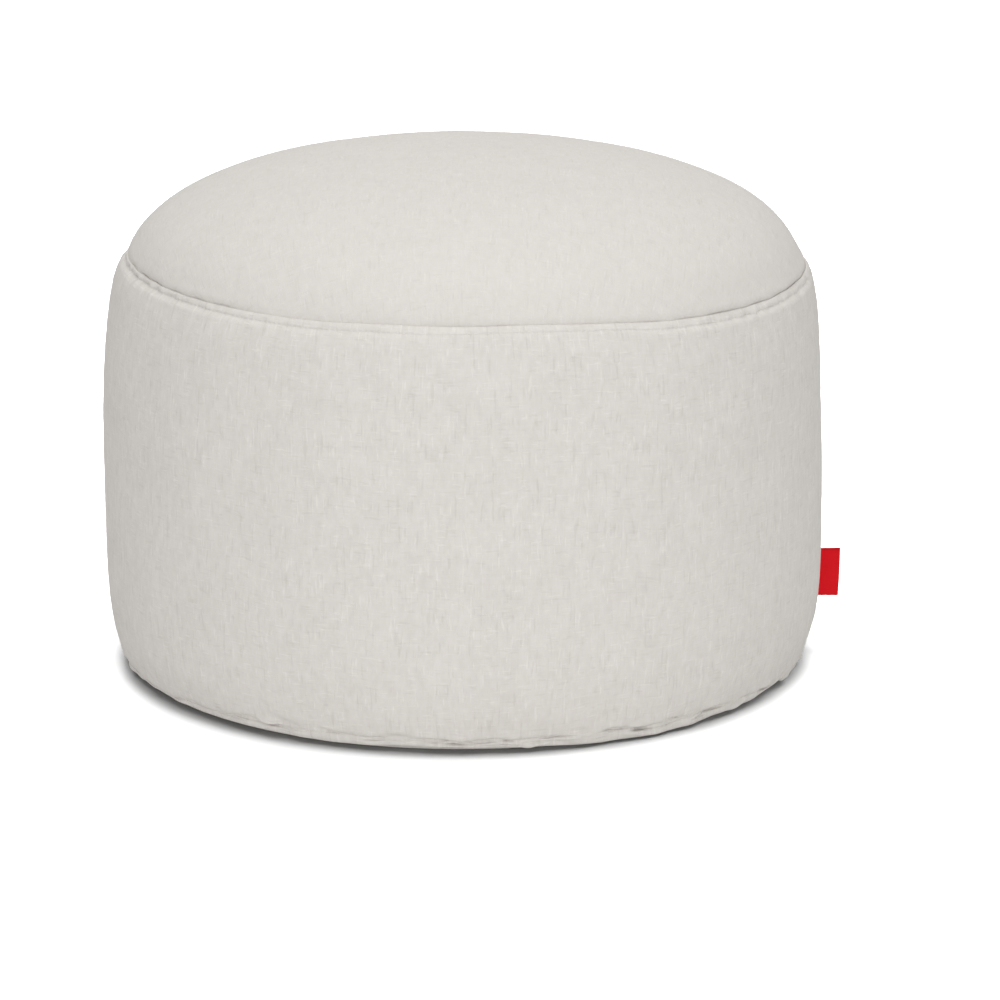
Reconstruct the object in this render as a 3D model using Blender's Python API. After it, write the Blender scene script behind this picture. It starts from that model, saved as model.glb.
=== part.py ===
"""Round bean bag footstool: a crowned top panel, a tall side band and a flat base panel of canvas,
joined by lapped and topstitched seams around a tight bead filling, with a folded ribbon tab in the
band's side seam.

Metres, +Z up. The origin is the centre of the base panel's underside, which rests on the floor.
Azimuth runs anticlockwise from +X, where the side seam and its tab are. The front faces -Y.
"""

import math
from typing import NamedTuple

import bmesh
import bpy

# ---- Driving dimensions, in metres ---------------------------------------------------------------
BELLY_RADIUS = 0.250  # the widest part of the band
BELLY_HEIGHT = 0.100
CROWN_TOP = 0.359  # total height, at the middle of the top panel
SEAM_HEIGHT = 0.281  # mean height of the top seam
PANEL_GAP = 0.0003  # between neighbouring pieces

# The crown is a flattened dome. Its curve would stand upright at this radius and height.
CROWN_RIM_RADIUS = 0.2375
CROWN_RIM_HEIGHT = 0.242
CROWN_ROUNDNESS = 2.2
CROWN_FULLNESS = 3.0

# Above the belly the band leans in a little, then turns over sharply at the shoulder.
SHOULDER_RADIUS = 0.1824
SHOULDER_HEIGHT = 0.294
SHOULDER_LEAN = 2.37
SHOULDER_SQUARENESS = 9.0

# Below the belly it turns under in a rounder curve.
FOOT_RADIUS = 0.2282
FOOT_HEIGHT = 0.001
FOOT_LEAN = 2.11
FOOT_SQUARENESS = 3.23

# Top seam: a groove, a lip of turned-in canvas on the band, and the topstitching below that lip.
SEAM_GROOVE = 0.0009  # how far the panels draw in at the seam
SEAM_GROOVE_WIDTH = 0.0016
TOPSTITCH_DROP = 0.0042  # from the seam down to the topstitching
TOPSTITCH_GROOVE = 0.0006
TOPSTITCH_WIDTH = 0.0026
LIP_RISE = 0.0010  # how far the lip stands proud of a straight line from seam to topstitching

# Base seam: the same lip, with puckers where the fuller band is eased on to the base panel.
BASE_THICKNESS = 0.0026
BASE_FLAT_RADIUS = 0.2265  # the part of the base panel that lies on the floor
BASE_RIM_RADIUS = 0.2322
BASE_RIM_LIFT = 0.0006
BASE_LIP_RADIUS = 0.2358  # where the lip turns under
BASE_LIP_UNDERSIDE = 0.0013  # the lip's lowest height, clear of the floor
BASE_LIP_CREST = 0.0058
BASE_LIP_HEIGHT = 0.0098  # height of the lower topstitching
BASE_LIP_BULGE = 0.0009
PUCKER_REACH = 0.030  # height at which the puckers have faded out
PUCKER_LIFT = 0.35  # share of a pucker's depth by which it lifts the lip's edge

# The tab: a ribbon folded in two, its ends caught in the groove of the side seam.
SIDE_GROOVE = 0.0009
TAB_BOTTOM = 0.038
TAB_TOP = 0.072
TAB_REACH = 0.0160  # from the band's face to the fold
TAB_THICKNESS = 0.0013
TAB_FOLD_THICKNESS = 0.0021
TAB_BOW = 0.0009  # how far the fold swings towards the back, most at its middle

# ---- Mesh steps ----------------------------------------------------------------------------------
AROUND = 120  # columns around the stool, the side seam's among them
CROWN_STEPS = 11
UPPER_WALL_STEPS = 10
LOWER_WALL_STEPS = 7
STEP_CLOSING = 1.6  # over 1, the steps draw closer towards the seams
TAB_ROWS = 8


class Wave(NamedTuple):
    """One wave around the stool: its number of lobes, its height and where its first crest lies."""

    lobes: int
    height: float
    crest_deg: float


class SeamColumn(NamedTuple):
    """One column of the side seam: its distance along the band from the seam, and its relief."""

    along: float
    relief: float


# The top seam wanders over the shoulder, lowest at the tab's side.
SEAM_WANDER = (
    Wave(lobes=1, height=0.0047, crest_deg=180.0),
    Wave(lobes=2, height=0.0007, crest_deg=0.0),
    Wave(lobes=4, height=0.0015, crest_deg=0.0),
)

# The base seam's puckers: long ones from the filling and shorter ones from the easing.
PUCKERS = (
    Wave(lobes=11, height=0.0005, crest_deg=8.0),
    Wave(lobes=19, height=0.0006, crest_deg=3.0),
    Wave(lobes=31, height=0.0004, crest_deg=0.0),
)

# The side seam's groove, the lip on its back side, and the topstitching beside the lip.
SIDE_SEAM = (
    SeamColumn(along=-0.0026, relief=0.0),
    SeamColumn(along=-0.0011, relief=-SIDE_GROOVE),
    SeamColumn(along=0.0011, relief=-SIDE_GROOVE),
    SeamColumn(along=0.0024, relief=0.0004),
    SeamColumn(along=0.0050, relief=0.0004),
    SeamColumn(along=0.0062, relief=-0.0005),
    SeamColumn(along=0.0078, relief=0.0),
)


def clear_scene():
    """Removes every object of the startup scene."""
    for obj in list(bpy.data.objects):
        bpy.data.objects.remove(obj, do_unlink=True)


def cloth_material(name, colour, roughness):
    """A plain cloth material."""
    material = bpy.data.materials.new(name)
    material.use_nodes = True
    shader = material.node_tree.nodes["Principled BSDF"]
    shader.inputs["Base Color"].default_value = (*colour, 1.0)
    shader.inputs["Roughness"].default_value = roughness
    shader.inputs["Metallic"].default_value = 0.0
    return material


def wave_height(waves, azimuth):
    """The sum of some waves at an azimuth."""
    return sum(w.height * math.cos(w.lobes * (azimuth - math.radians(w.crest_deg))) for w in waves)


# ---- The turned profile --------------------------------------------------------------------------
def crown_height(radius):
    """Height of the top panel's face at a radius."""
    fall = 1.0 - (radius / CROWN_RIM_RADIUS) ** CROWN_ROUNDNESS
    return CROWN_RIM_HEIGHT + (CROWN_TOP - CROWN_RIM_HEIGHT) * max(fall, 0.0) ** (1.0 / CROWN_FULLNESS)


def crown_radius(height):
    """Radius of the top panel's face at a height: the inverse of crown_height."""
    rise = (height - CROWN_RIM_HEIGHT) / (CROWN_TOP - CROWN_RIM_HEIGHT)
    return CROWN_RIM_RADIUS * (1.0 - rise**CROWN_FULLNESS) ** (1.0 / CROWN_ROUNDNESS)


def wall_radius(height):
    """Radius of the band's face at a height."""
    if height >= BELLY_HEIGHT:
        inner, lean, squareness = SHOULDER_RADIUS, SHOULDER_LEAN, SHOULDER_SQUARENESS
        share = (height - BELLY_HEIGHT) / (SHOULDER_HEIGHT - BELLY_HEIGHT)
    else:
        inner, lean, squareness = FOOT_RADIUS, FOOT_LEAN, FOOT_SQUARENESS
        share = (BELLY_HEIGHT - height) / (BELLY_HEIGHT - FOOT_HEIGHT)
    return inner + (BELLY_RADIUS - inner) * (1.0 - min(share, 1.0) ** lean) ** (1.0 / squareness)


def seam_height(azimuth):
    """Height of the top seam at an azimuth."""
    return SEAM_HEIGHT + wave_height(SEAM_WANDER, azimuth)


def seam_radius(azimuth):
    """Radius of the bottom of the top seam's groove at an azimuth."""
    return crown_radius(seam_height(azimuth)) - SEAM_GROOVE


def pucker(azimuth, height):
    """How far the base seam's puckers push the band out at a height."""
    fade = max(0.0, 1.0 - height / PUCKER_REACH)
    return wave_height(PUCKERS, azimuth) * fade**2


# ---- Meshing -------------------------------------------------------------------------------------
def band_columns():
    """(azimuth, side seam relief) of each column around the stool: the side seam's, then even ones."""
    seam = [(c.along / BELLY_RADIUS, c.relief) for c in SIDE_SEAM]
    start, end = seam[-1][0], seam[0][0] + math.tau
    plain = AROUND - len(seam)
    even = [(start + (end - start) * (k + 1) / (plain + 1), 0.0) for k in range(plain)]
    return seam + even


def add_ring(bm, points):
    """A closed ring of vertices through points of (radius, azimuth, height)."""
    return [bm.verts.new((r * math.cos(a), r * math.sin(a), z)) for r, a, z in points]


def add_skin(bm, loops):
    """Faces between each loop of vertices and the next. They face out where the loops run down."""
    for upper, lower in zip(loops, loops[1:]):
        for k, vert in enumerate(upper):
            after = (k + 1) % len(upper)
            bm.faces.new((vert, lower[k], lower[after], upper[after]))


def add_fan(bm, loop, height, faces_up):
    """Triangles from a loop to one point on the axis."""
    middle = bm.verts.new((0.0, 0.0, height))
    for k, vert in enumerate(loop):
        after = loop[(k + 1) % len(loop)]
        bm.faces.new((middle, vert, after) if faces_up else (middle, after, vert))


def make_piece(bm, name, material, sharp_deg=40.0):
    """A mesh object from a bmesh, shaded smooth but for its sharp edges."""
    mesh = bpy.data.meshes.new(name)
    bm.to_mesh(mesh)
    bm.free()
    mesh.shade_smooth()
    mesh.set_sharp_from_angle(angle=math.radians(sharp_deg))
    mesh.materials.append(material)
    piece = bpy.data.objects.new(name, mesh)
    bpy.context.scene.collection.objects.link(piece)
    return piece


def build_top_panel(material, columns):
    """The filled crown: a dome out to the top seam, closed by the parting face under it."""
    bm = bmesh.new()
    rings = []
    for step in range(1, CROWN_STEPS + 1):
        reach = 1.0 - (1.0 - step / CROWN_STEPS) ** STEP_CLOSING
        radii = [(crown_radius(seam_height(a) + SEAM_GROOVE_WIDTH) * reach, a) for a, _ in columns]
        rings.append([(r, a, crown_height(r)) for r, a in radii])
    rings.append([(seam_radius(a), a, seam_height(a) + PANEL_GAP / 2) for a, _ in columns])
    loops = [add_ring(bm, ring) for ring in rings]
    add_fan(bm, loops[0], CROWN_TOP, faces_up=True)
    add_skin(bm, loops)
    add_fan(bm, loops[-1], SEAM_HEIGHT + PANEL_GAP / 2, faces_up=False)
    return make_piece(bm, "top_panel", material)


def top_lip_points(azimuth, relief):
    """The band's rim, lip crest, topstitching and the wall below it, from the top seam down."""
    seam = seam_height(azimuth)
    stitch = seam - TOPSTITCH_DROP
    below = stitch - TOPSTITCH_WIDTH
    inner, outer = seam_radius(azimuth), wall_radius(stitch) - TOPSTITCH_GROOVE
    return [
        (inner, azimuth, seam - PANEL_GAP / 2),
        ((inner + outer) / 2 + LIP_RISE, azimuth, seam - TOPSTITCH_DROP / 4),
        (outer, azimuth, stitch),
        (wall_radius(below) + relief, azimuth, below),
    ]


def base_lip_points(azimuth, relief):
    """The lower topstitching, the lip's crest and edge, and its turn up to the parting face."""
    lift = abs(pucker(azimuth, 0.0)) * PUCKER_LIFT
    return [
        (wall_radius(BASE_LIP_HEIGHT) - TOPSTITCH_GROOVE + relief, azimuth, BASE_LIP_HEIGHT),
        (
            wall_radius(BASE_LIP_CREST) + BASE_LIP_BULGE + pucker(azimuth, BASE_LIP_CREST),
            azimuth,
            BASE_LIP_CREST,
        ),
        (BASE_LIP_RADIUS + pucker(azimuth, 0.0), azimuth, BASE_LIP_UNDERSIDE + lift),
        (BASE_RIM_RADIUS + 2 * PANEL_GAP, azimuth, BASE_LIP_UNDERSIDE + PANEL_GAP),
        (BASE_RIM_RADIUS + 2 * PANEL_GAP, azimuth, BASE_THICKNESS + PANEL_GAP),
    ]


def wall_points(azimuth, relief):
    """The band's face between its two rows of topstitching, from the top down."""
    top = seam_height(azimuth) - TOPSTITCH_DROP - TOPSTITCH_WIDTH
    bottom = BASE_LIP_HEIGHT + TOPSTITCH_WIDTH
    # Steps are closer towards the shoulder and the foot, where the face turns most.
    upper = [(k / UPPER_WALL_STEPS) ** STEP_CLOSING for k in range(1, UPPER_WALL_STEPS + 1)]
    lower = [(k / LOWER_WALL_STEPS) ** STEP_CLOSING for k in range(LOWER_WALL_STEPS - 1, -1, -1)]
    heights = [top + (BELLY_HEIGHT - top) * share for share in upper]
    heights += [bottom + (BELLY_HEIGHT - bottom) * share for share in lower]
    return [(wall_radius(z) + relief + pucker(azimuth, z), azimuth, z) for z in heights]


def build_side_band(material, columns):
    """The filled drum: the band's face with its lips and side seam, between its two parting faces."""
    bm = bmesh.new()
    sections = [
        top_lip_points(azimuth, relief) + wall_points(azimuth, relief) + base_lip_points(azimuth, relief)
        for azimuth, relief in columns
    ]
    loops = [add_ring(bm, ring) for ring in zip(*sections)]
    add_fan(bm, loops[0], SEAM_HEIGHT - PANEL_GAP / 2, faces_up=True)
    add_skin(bm, loops)
    add_fan(bm, loops[-1], BASE_THICKNESS + PANEL_GAP, faces_up=False)
    return make_piece(bm, "side_band", material)


def build_base_panel(material, columns):
    """The base panel: a disc that lies flat on the floor, with its rim lifted into the base seam."""
    bm = bmesh.new()
    profile = (
        (BASE_RIM_RADIUS, BASE_THICKNESS),
        (BASE_RIM_RADIUS, BASE_RIM_LIFT),
        (BASE_FLAT_RADIUS, 0.0),
    )
    loops = [add_ring(bm, [(radius, a, height) for a, _ in columns]) for radius, height in profile]
    add_fan(bm, loops[0], BASE_THICKNESS, faces_up=True)
    add_skin(bm, loops)
    add_fan(bm, loops[-1], 0.0, faces_up=False)
    return make_piece(bm, "base_panel", material)


def tab_section(height):
    """Points of the tab's section at a height, as (x, y) anticlockwise from its root's front corner."""
    face = wall_radius(height)
    root = face - SIDE_GROOVE + PANEL_GAP
    fold = face + TAB_REACH
    up = (height - TAB_BOTTOM) / (TAB_TOP - TAB_BOTTOM)
    swing = TAB_BOW * math.sin(math.pi * up)
    half, thick = TAB_THICKNESS / 2, TAB_FOLD_THICKNESS / 2
    outline = (
        (root, half),
        (face + 0.40 * TAB_REACH, half),
        (face + 0.80 * TAB_REACH, thick),
        (face + 0.95 * TAB_REACH, 0.75 * thick),
    )
    front = [(x, -y) for x, y in outline]
    back = [(x, y) for x, y in reversed(outline)]
    ring = [*front, (fold, 0.0), *back]
    return [(x, y + swing * max(0.0, (x - face) / TAB_REACH) ** 2) for x, y in ring]


def build_tab(material):
    """The folded ribbon tab, standing out of the side seam and following the band's curve."""
    bm = bmesh.new()
    loops = []
    for row in range(TAB_ROWS, -1, -1):
        height = TAB_BOTTOM + (TAB_TOP - TAB_BOTTOM) * row / TAB_ROWS
        loops.append([bm.verts.new((x, y, height)) for x, y in tab_section(height)])
    add_skin(bm, loops)
    bm.faces.new(loops[0])
    bm.faces.new(reversed(loops[-1]))
    bmesh.ops.triangulate(bm, faces=[f for f in bm.faces if len(f.verts) > 4])
    return make_piece(bm, "side_tab", material)


def main():
    """Builds the footstool's four pieces."""
    clear_scene()
    canvas = cloth_material("canvas", (0.70, 0.68, 0.64), 0.92)
    ribbon = cloth_material("ribbon", (0.62, 0.012, 0.020), 0.70)
    columns = band_columns()
    build_top_panel(canvas, columns)
    build_side_band(canvas, columns)
    build_base_panel(canvas, columns)
    build_tab(ribbon)


main()
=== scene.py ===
"""Looks of the round bean bag footstool: canvas panels under the pressure of their bead filling, lapped
and topstitched seams, a folded ribbon tab, and the studio around them.

Metres, +Z up, in the fixed frame's own coordinates. Azimuth runs anticlockwise from +X, where the side
seam and its tab are. The front faces -Y. A profile is given as (radius, height).
"""

from __future__ import annotations

import logging
import math
from collections.abc import Callable, Sequence
from dataclasses import dataclass, field
from enum import Enum

import bpy
import numpy as np
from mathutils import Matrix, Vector


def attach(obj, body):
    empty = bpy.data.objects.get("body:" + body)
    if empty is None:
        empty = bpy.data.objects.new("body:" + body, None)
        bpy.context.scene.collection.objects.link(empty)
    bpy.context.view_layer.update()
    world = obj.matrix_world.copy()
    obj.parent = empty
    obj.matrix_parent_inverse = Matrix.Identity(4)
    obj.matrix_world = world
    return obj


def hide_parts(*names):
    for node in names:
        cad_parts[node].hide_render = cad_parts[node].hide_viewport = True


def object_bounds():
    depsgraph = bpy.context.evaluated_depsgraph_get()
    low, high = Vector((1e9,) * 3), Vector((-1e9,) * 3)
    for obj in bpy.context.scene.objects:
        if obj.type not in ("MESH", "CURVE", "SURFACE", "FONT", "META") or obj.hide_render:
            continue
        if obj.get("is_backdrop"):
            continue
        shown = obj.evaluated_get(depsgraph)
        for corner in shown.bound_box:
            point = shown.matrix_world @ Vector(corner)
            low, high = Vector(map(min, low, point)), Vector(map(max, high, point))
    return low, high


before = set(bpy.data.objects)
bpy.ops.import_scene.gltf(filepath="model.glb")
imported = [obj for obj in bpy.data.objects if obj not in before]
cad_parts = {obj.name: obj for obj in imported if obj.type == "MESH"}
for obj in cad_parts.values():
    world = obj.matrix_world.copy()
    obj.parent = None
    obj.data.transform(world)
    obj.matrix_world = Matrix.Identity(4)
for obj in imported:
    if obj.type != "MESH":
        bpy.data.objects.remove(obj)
cad_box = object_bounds()

CLOTH_MAP = "Cloth"  # flat lengths along the cloth, in metres
SEWING_MAP = "Sewing"  # stitches along the nearest row, and metres from that row
BAKE_MAP = "OFBake"  # the same faces laid out in the unit square, for painted maps

log = logging.getLogger("footstool")
Array = np.ndarray
Arrays = tuple[Array, Array]
Pair = tuple[float, float]
Colour = tuple[float, float, float]
Material = bpy.types.Material
Object = bpy.types.Object
Socket = bpy.types.NodeSocket


# ---- Sums ----
def bell(off: Array, width: float) -> Array:
    """A soft hump: 1 where off is 0, and next to nothing at twice the width."""
    return np.exp(-((off / width) ** 2))


def smooth_step(value: Array, start: float, end: float) -> Array:
    """0 before start, 1 after end, and a soft slope between."""
    share = np.clip((value - start) / (end - start), 0.0, 1.0)
    return share * share * (3.0 - 2.0 * share)


def cosine_steps(count: int) -> Array:
    """Shares from 0 to 1, closer together at both ends."""
    return 0.5 - 0.5 * np.cos(np.linspace(0.0, math.pi, count + 1))


def opening_steps(length: float, first: float, growth: float, most: float) -> Array:
    """Steps along a length that are fine at its start.

    Args:
        length: The whole length.
        first: The first step.
        growth: How many times longer each step is than the one before it.
        most: The longest step.

    Returns:
        Shares of the length, from 0 to 1.
    """
    ends, step = [0.0], first
    while ends[-1] < length:
        ends.append(ends[-1] + step)
        step = min(step * growth, most)
    return np.array(ends) / ends[-1]


def closing_steps(length: float, first: float, growth: float, most: float) -> Array:
    """Steps along a length that are fine at both of its ends."""
    half = opening_steps(length / 2, first, growth, most) / 2
    return np.concatenate([half, 1.0 - half[-2::-1]])


def even_turn(count: int) -> Array:
    """Evenly spaced azimuths of a full turn, from 0."""
    return np.arange(count) / count * math.tau


def headings(azimuth: Array) -> Array:
    """Level directions, one metre long, at some azimuths."""
    return np.stack([np.cos(azimuth), np.sin(azimuth)], axis=-1)


def turned(radius: Array, azimuth: Array, height: Array) -> Array:
    """Points in space from radii, azimuths and heights."""
    return np.stack([radius * np.cos(azimuth), radius * np.sin(azimuth), height], axis=-1)


def profile_normals(radius: Array, height: Array) -> Arrays:
    """Outward normals of a profile that runs down its rows, as their parts along radius and height.

    Args:
        radius: Radii of the rows and columns.
        height: Their heights.

    Returns:
        Both parts, for each row and column.
    """
    along_r, along_z = np.gradient(radius, axis=0), np.gradient(height, axis=0)
    size = np.maximum(np.hypot(along_r, along_z), 1e-9)  # above 0, as it divides
    return -along_z / size, along_r / size


def paired(first: Array, second: Array) -> Array:
    """Two values of every point, side by side."""
    return np.stack(np.broadcast_arrays(first, second), axis=-1)


def reached(steps: Array) -> Array:
    """How far some steps have come: 0 before the first, and then after each."""
    return np.concatenate([[0.0], np.cumsum(steps)])


def length_to_rows(radius: Array, height: Array) -> Array:
    """Length of a face from its first row to each row, on average over its columns."""
    return reached(np.hypot(np.diff(radius, axis=0), np.diff(height, axis=0)).mean(axis=1))


def put(name: str, data: bpy.types.ID) -> Object:
    """Puts a new object in the scene.

    Args:
        name: Its name.
        data: Its mesh, light or camera.

    Returns:
        The object.
    """
    obj = bpy.data.objects.new(name, data)
    bpy.context.scene.collection.objects.link(obj)
    return obj


# ---- Form ----
@dataclass(frozen=True)
class Wave:
    """One wave around the stool."""

    lobes: int
    height: float
    crest_deg: float

    def at(self, azimuth: Array) -> Array:
        """The wave's height at some azimuths."""
        return self.height * np.cos(self.lobes * (azimuth - math.radians(self.crest_deg)))


@dataclass(frozen=True)
class Around:
    """An amount that changes around the stool."""

    knots: tuple[Pair, ...]  # azimuths in degrees, and the amount at each
    easing_deg: float = 3.0
    reads: int = 9  # spread over the easing: their mean is what it gives

    def at(self, azimuth: Array) -> Array:
        """The amount at some azimuths, straight between the given ones and rounded at each.

        Args:
            azimuth: Azimuth of each point.

        Returns:
            The amount at each azimuth.
        """
        places, amounts = zip(*self.knots)
        beside = np.linspace(-self.easing_deg, self.easing_deg, self.reads)
        near = np.degrees(azimuth)[..., None] + beside
        return np.interp(near, places, amounts, period=360.0).mean(axis=-1)


@dataclass(frozen=True)
class StoolForm:
    """The turned form that the filling presses the canvas into.

    The profile, the top seam's wander and the puckers are as the frame's solids have them. The seam's
    slip and the tucks are finer forms, which only this scene has.
    """

    belly_radius: float = 0.250
    belly_height: float = 0.100
    crown_top: float = 0.359
    crown_rim_radius: float = 0.2375
    crown_rim_height: float = 0.242
    crown_roundness: float = 2.2
    crown_fullness: float = 3.0
    shoulder_radius: float = 0.1824
    shoulder_height: float = 0.294
    shoulder_lean: float = 2.37
    shoulder_squareness: float = 9.0
    foot_radius: float = 0.2282
    foot_height: float = 0.001
    foot_lean: float = 2.11
    foot_squareness: float = 3.23
    seam_mean: float = 0.281
    seam_wander: tuple[Wave, ...] = (Wave(1, 0.0047, 180.0), Wave(2, 0.0007, 0.0), Wave(4, 0.0015, 0.0))
    seam_slip: Around = Around(  # how much lower the sewn seam comes out than that
        (
            (-165, 0.0), (-150, 0.0002), (-130, 0.0006), (-122, 0.0008), (-116, 0.0015),
            (-109, 0.0015), (-104, 0.0009), (-99, 0.0010), (-94, 0.0013), (-87, 0.0009),
            (-82, -0.0003), (-76, -0.0006), (-64, -0.0003), (-59, 0.0006), (-46, 0.0009),
            (-35, 0.0011), (-20, 0.0010), (10, 0.0),
        )
    )
    puckers: tuple[Wave, ...] = (Wave(11, 0.0005, 8.0), Wave(19, 0.0006, 3.0), Wave(31, 0.0004, 0.0))
    pucker_reach: float = 0.030
    shoulder_tuck: float = 0.0014  # how far the top seam's stitches draw the band in below it
    shoulder_tuck_wave: Wave = Wave(1, 0.0009, 180.0)
    shoulder_tuck_reach: float = 0.0115
    crown_tuck: float = -0.0002  # the same of the crown above it, which overhangs it where this is below 0
    crown_tuck_wave: Wave = Wave(1, 0.0010, 180.0)
    crown_tuck_reach: float = 0.0090
    base_tuck: float = 0.0010
    base_tuck_height: float = 0.0090
    base_tuck_reach: float = 0.0120

    def crown_height(self, radius: Array) -> Array:
        """Height of the top panel's face at some radii.

        Args:
            radius: Radius of each point.

        Returns:
            The height at each radius.
        """
        fall = np.clip(1.0 - (radius / self.crown_rim_radius) ** self.crown_roundness, 0.0, 1.0)
        rise = self.crown_top - self.crown_rim_height
        return self.crown_rim_height + rise * fall ** (1.0 / self.crown_fullness)

    def crown_radius(self, height: Array) -> Array:
        """Radius of the top panel's face at some heights: the inverse of crown_height.

        Args:
            height: Height of each point.

        Returns:
            The radius at each height.
        """
        share = (height - self.crown_rim_height) / (self.crown_top - self.crown_rim_height)
        fall = 1.0 - np.clip(share, 0.0, 1.0) ** self.crown_fullness
        return self.crown_rim_radius * fall ** (1.0 / self.crown_roundness)

    def wall_radius(self, height: Array) -> Array:
        """Radius of the band's face at some heights.

        Args:
            height: Height of each point.

        Returns:
            The radius at each height.
        """
        up = np.clip((height - self.belly_height) / (self.shoulder_height - self.belly_height), 0.0, 1.0)
        down = np.clip((self.belly_height - height) / (self.belly_height - self.foot_height), 0.0, 1.0)
        shoulder = (1.0 - up**self.shoulder_lean) ** (1.0 / self.shoulder_squareness)
        foot = (1.0 - down**self.foot_lean) ** (1.0 / self.foot_squareness)
        above = self.shoulder_radius + (self.belly_radius - self.shoulder_radius) * shoulder
        below = self.foot_radius + (self.belly_radius - self.foot_radius) * foot
        return np.where(height >= self.belly_height, above, below)

    def seam_height(self, azimuth: Array) -> Array:
        """Height of the top seam at some azimuths."""
        wander = sum(wave.at(azimuth) for wave in self.seam_wander)
        return self.seam_mean + wander - self.seam_slip.at(azimuth)

    def tuck(self, azimuth: Array, height: Array) -> Array:
        """How far the stitches of the two seams draw the band in.

        Args:
            azimuth: Azimuth of each point.
            height: Height of each point.

        Returns:
            The distance at each point.
        """
        below = self.seam_height(azimuth) - height
        depth = self.shoulder_tuck + self.shoulder_tuck_wave.at(azimuth)
        shoulder = depth * bell(below, self.shoulder_tuck_reach)
        return shoulder + self.base_tuck * bell(height - self.base_tuck_height, self.base_tuck_reach)

    def tuck_of_crown(self, azimuth: Array, above: Array) -> Array:
        """How far the top seam's stitches draw the crown in, at some heights above the seam."""
        shoulder = self.crown_tuck + self.crown_tuck_wave.at(azimuth)
        return shoulder * bell(above, self.crown_tuck_reach)

    def pucker(self, azimuth: Array, height: Array) -> Array:
        """How far the base seam's long puckers push the band out."""
        fade = np.clip(1.0 - height / self.pucker_reach, 0.0, 1.0) ** 2
        return sum(wave.at(azimuth) for wave in self.puckers) * fade


@dataclass(frozen=True)
class Ripple:
    """Fine unevenness around the stool, about 1, the same on every run."""

    lobes: tuple[int, int]
    share: float
    seed: int
    count: int = 24

    def at(self, azimuth: Array) -> Array:
        """The unevenness at some azimuths.

        Args:
            azimuth: Azimuth of each point.

        Returns:
            The unevenness at each azimuth, never below 0.
        """
        rng = np.random.default_rng(self.seed)
        lobes = rng.integers(*self.lobes, size=self.count)
        start = rng.uniform(0.0, math.tau, size=self.count)
        total = sum(np.cos(many * azimuth + first) for many, first in zip(lobes, start))
        return np.maximum(1.0 + self.share * total * math.sqrt(2.0 / self.count), 0.0)


@dataclass(frozen=True)
class RandomWaves:
    """Soft unevenness: flat waves in many directions through space, the same on every run."""

    wavelengths: Pair
    height: float
    count: int
    seed: int

    def at(self, points: Array) -> Array:
        """Evaluates the unevenness.

        Args:
            points: Places in space, with x, y and z on the last axis.

        Returns:
            The unevenness at each point, whose usual size is the height field.
        """
        rng = np.random.default_rng(self.seed)
        heading = rng.normal(size=(self.count, 3))
        heading /= np.linalg.norm(heading, axis=1, keepdims=True)
        length = rng.uniform(*self.wavelengths, size=self.count)
        phase = rng.uniform(0.0, math.tau, size=self.count)
        total = np.zeros(points.shape[:-1])
        for direction, size, start in zip(heading, length, phase):
            total += np.cos(points @ (direction * math.tau / size) + start)
        return total * self.height * math.sqrt(2.0 / self.count)


@dataclass(frozen=True)
class Swell:
    """A place where the filling stands out, or sinks in if the rise is below 0."""

    azimuth_deg: float
    height: float
    across_deg: float
    up: float
    rise: float

    def at(self, azimuth: Array, height: Array) -> Array:
        """How far it stands out at some azimuths and heights."""
        off = (np.degrees(azimuth) - self.azimuth_deg + 180.0) % 360.0 - 180.0
        return self.rise * np.exp(-((off / self.across_deg) ** 2) - ((height - self.height) / self.up) ** 2)


@dataclass(frozen=True)
class Gathers:
    """Short folds of a seam's eased cloth, slanting along it, the same on every run."""

    count: int
    height: float
    length: Pair
    width: Pair
    spread: Pair
    slant_deg: float
    seed: int
    signs: tuple[float, ...] = (-1.0, 1.0, 1.0)  # what is drawn from: 1 for a fold and -1 for a crease
    least: float = 0.35  # the lowest fold's share of the height

    def at(self, azimuth: Array, along: Array, radius: float) -> Array:
        """Evaluates the folds.

        Args:
            azimuth: Azimuth of each column.
            along: Distance of each row and column from the seam, up or down the band.
            radius: The radius at which a fold's length is measured.

        Returns:
            The relief of each row and column.
        """
        rng = np.random.default_rng(self.seed)
        relief = np.zeros(np.broadcast_shapes(azimuth.shape, along.shape))
        for _ in range(self.count):
            place, lift = rng.uniform(0.0, math.tau), rng.uniform(*self.spread)
            length, width = rng.uniform(*self.length), rng.uniform(*self.width)
            slant = math.radians(rng.uniform(-self.slant_deg, self.slant_deg))
            height = self.height * rng.uniform(self.least, 1.0) * rng.choice(self.signs)
            across = radius * ((azimuth - place + math.pi) % math.tau - math.pi)
            up = along - lift
            lengthwise = across * math.cos(slant) + up * math.sin(slant)
            sidewise = up * math.cos(slant) - across * math.sin(slant)
            relief += height * np.exp(-((lengthwise / length) ** 2) - (sidewise / width) ** 2)
        return relief


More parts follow.
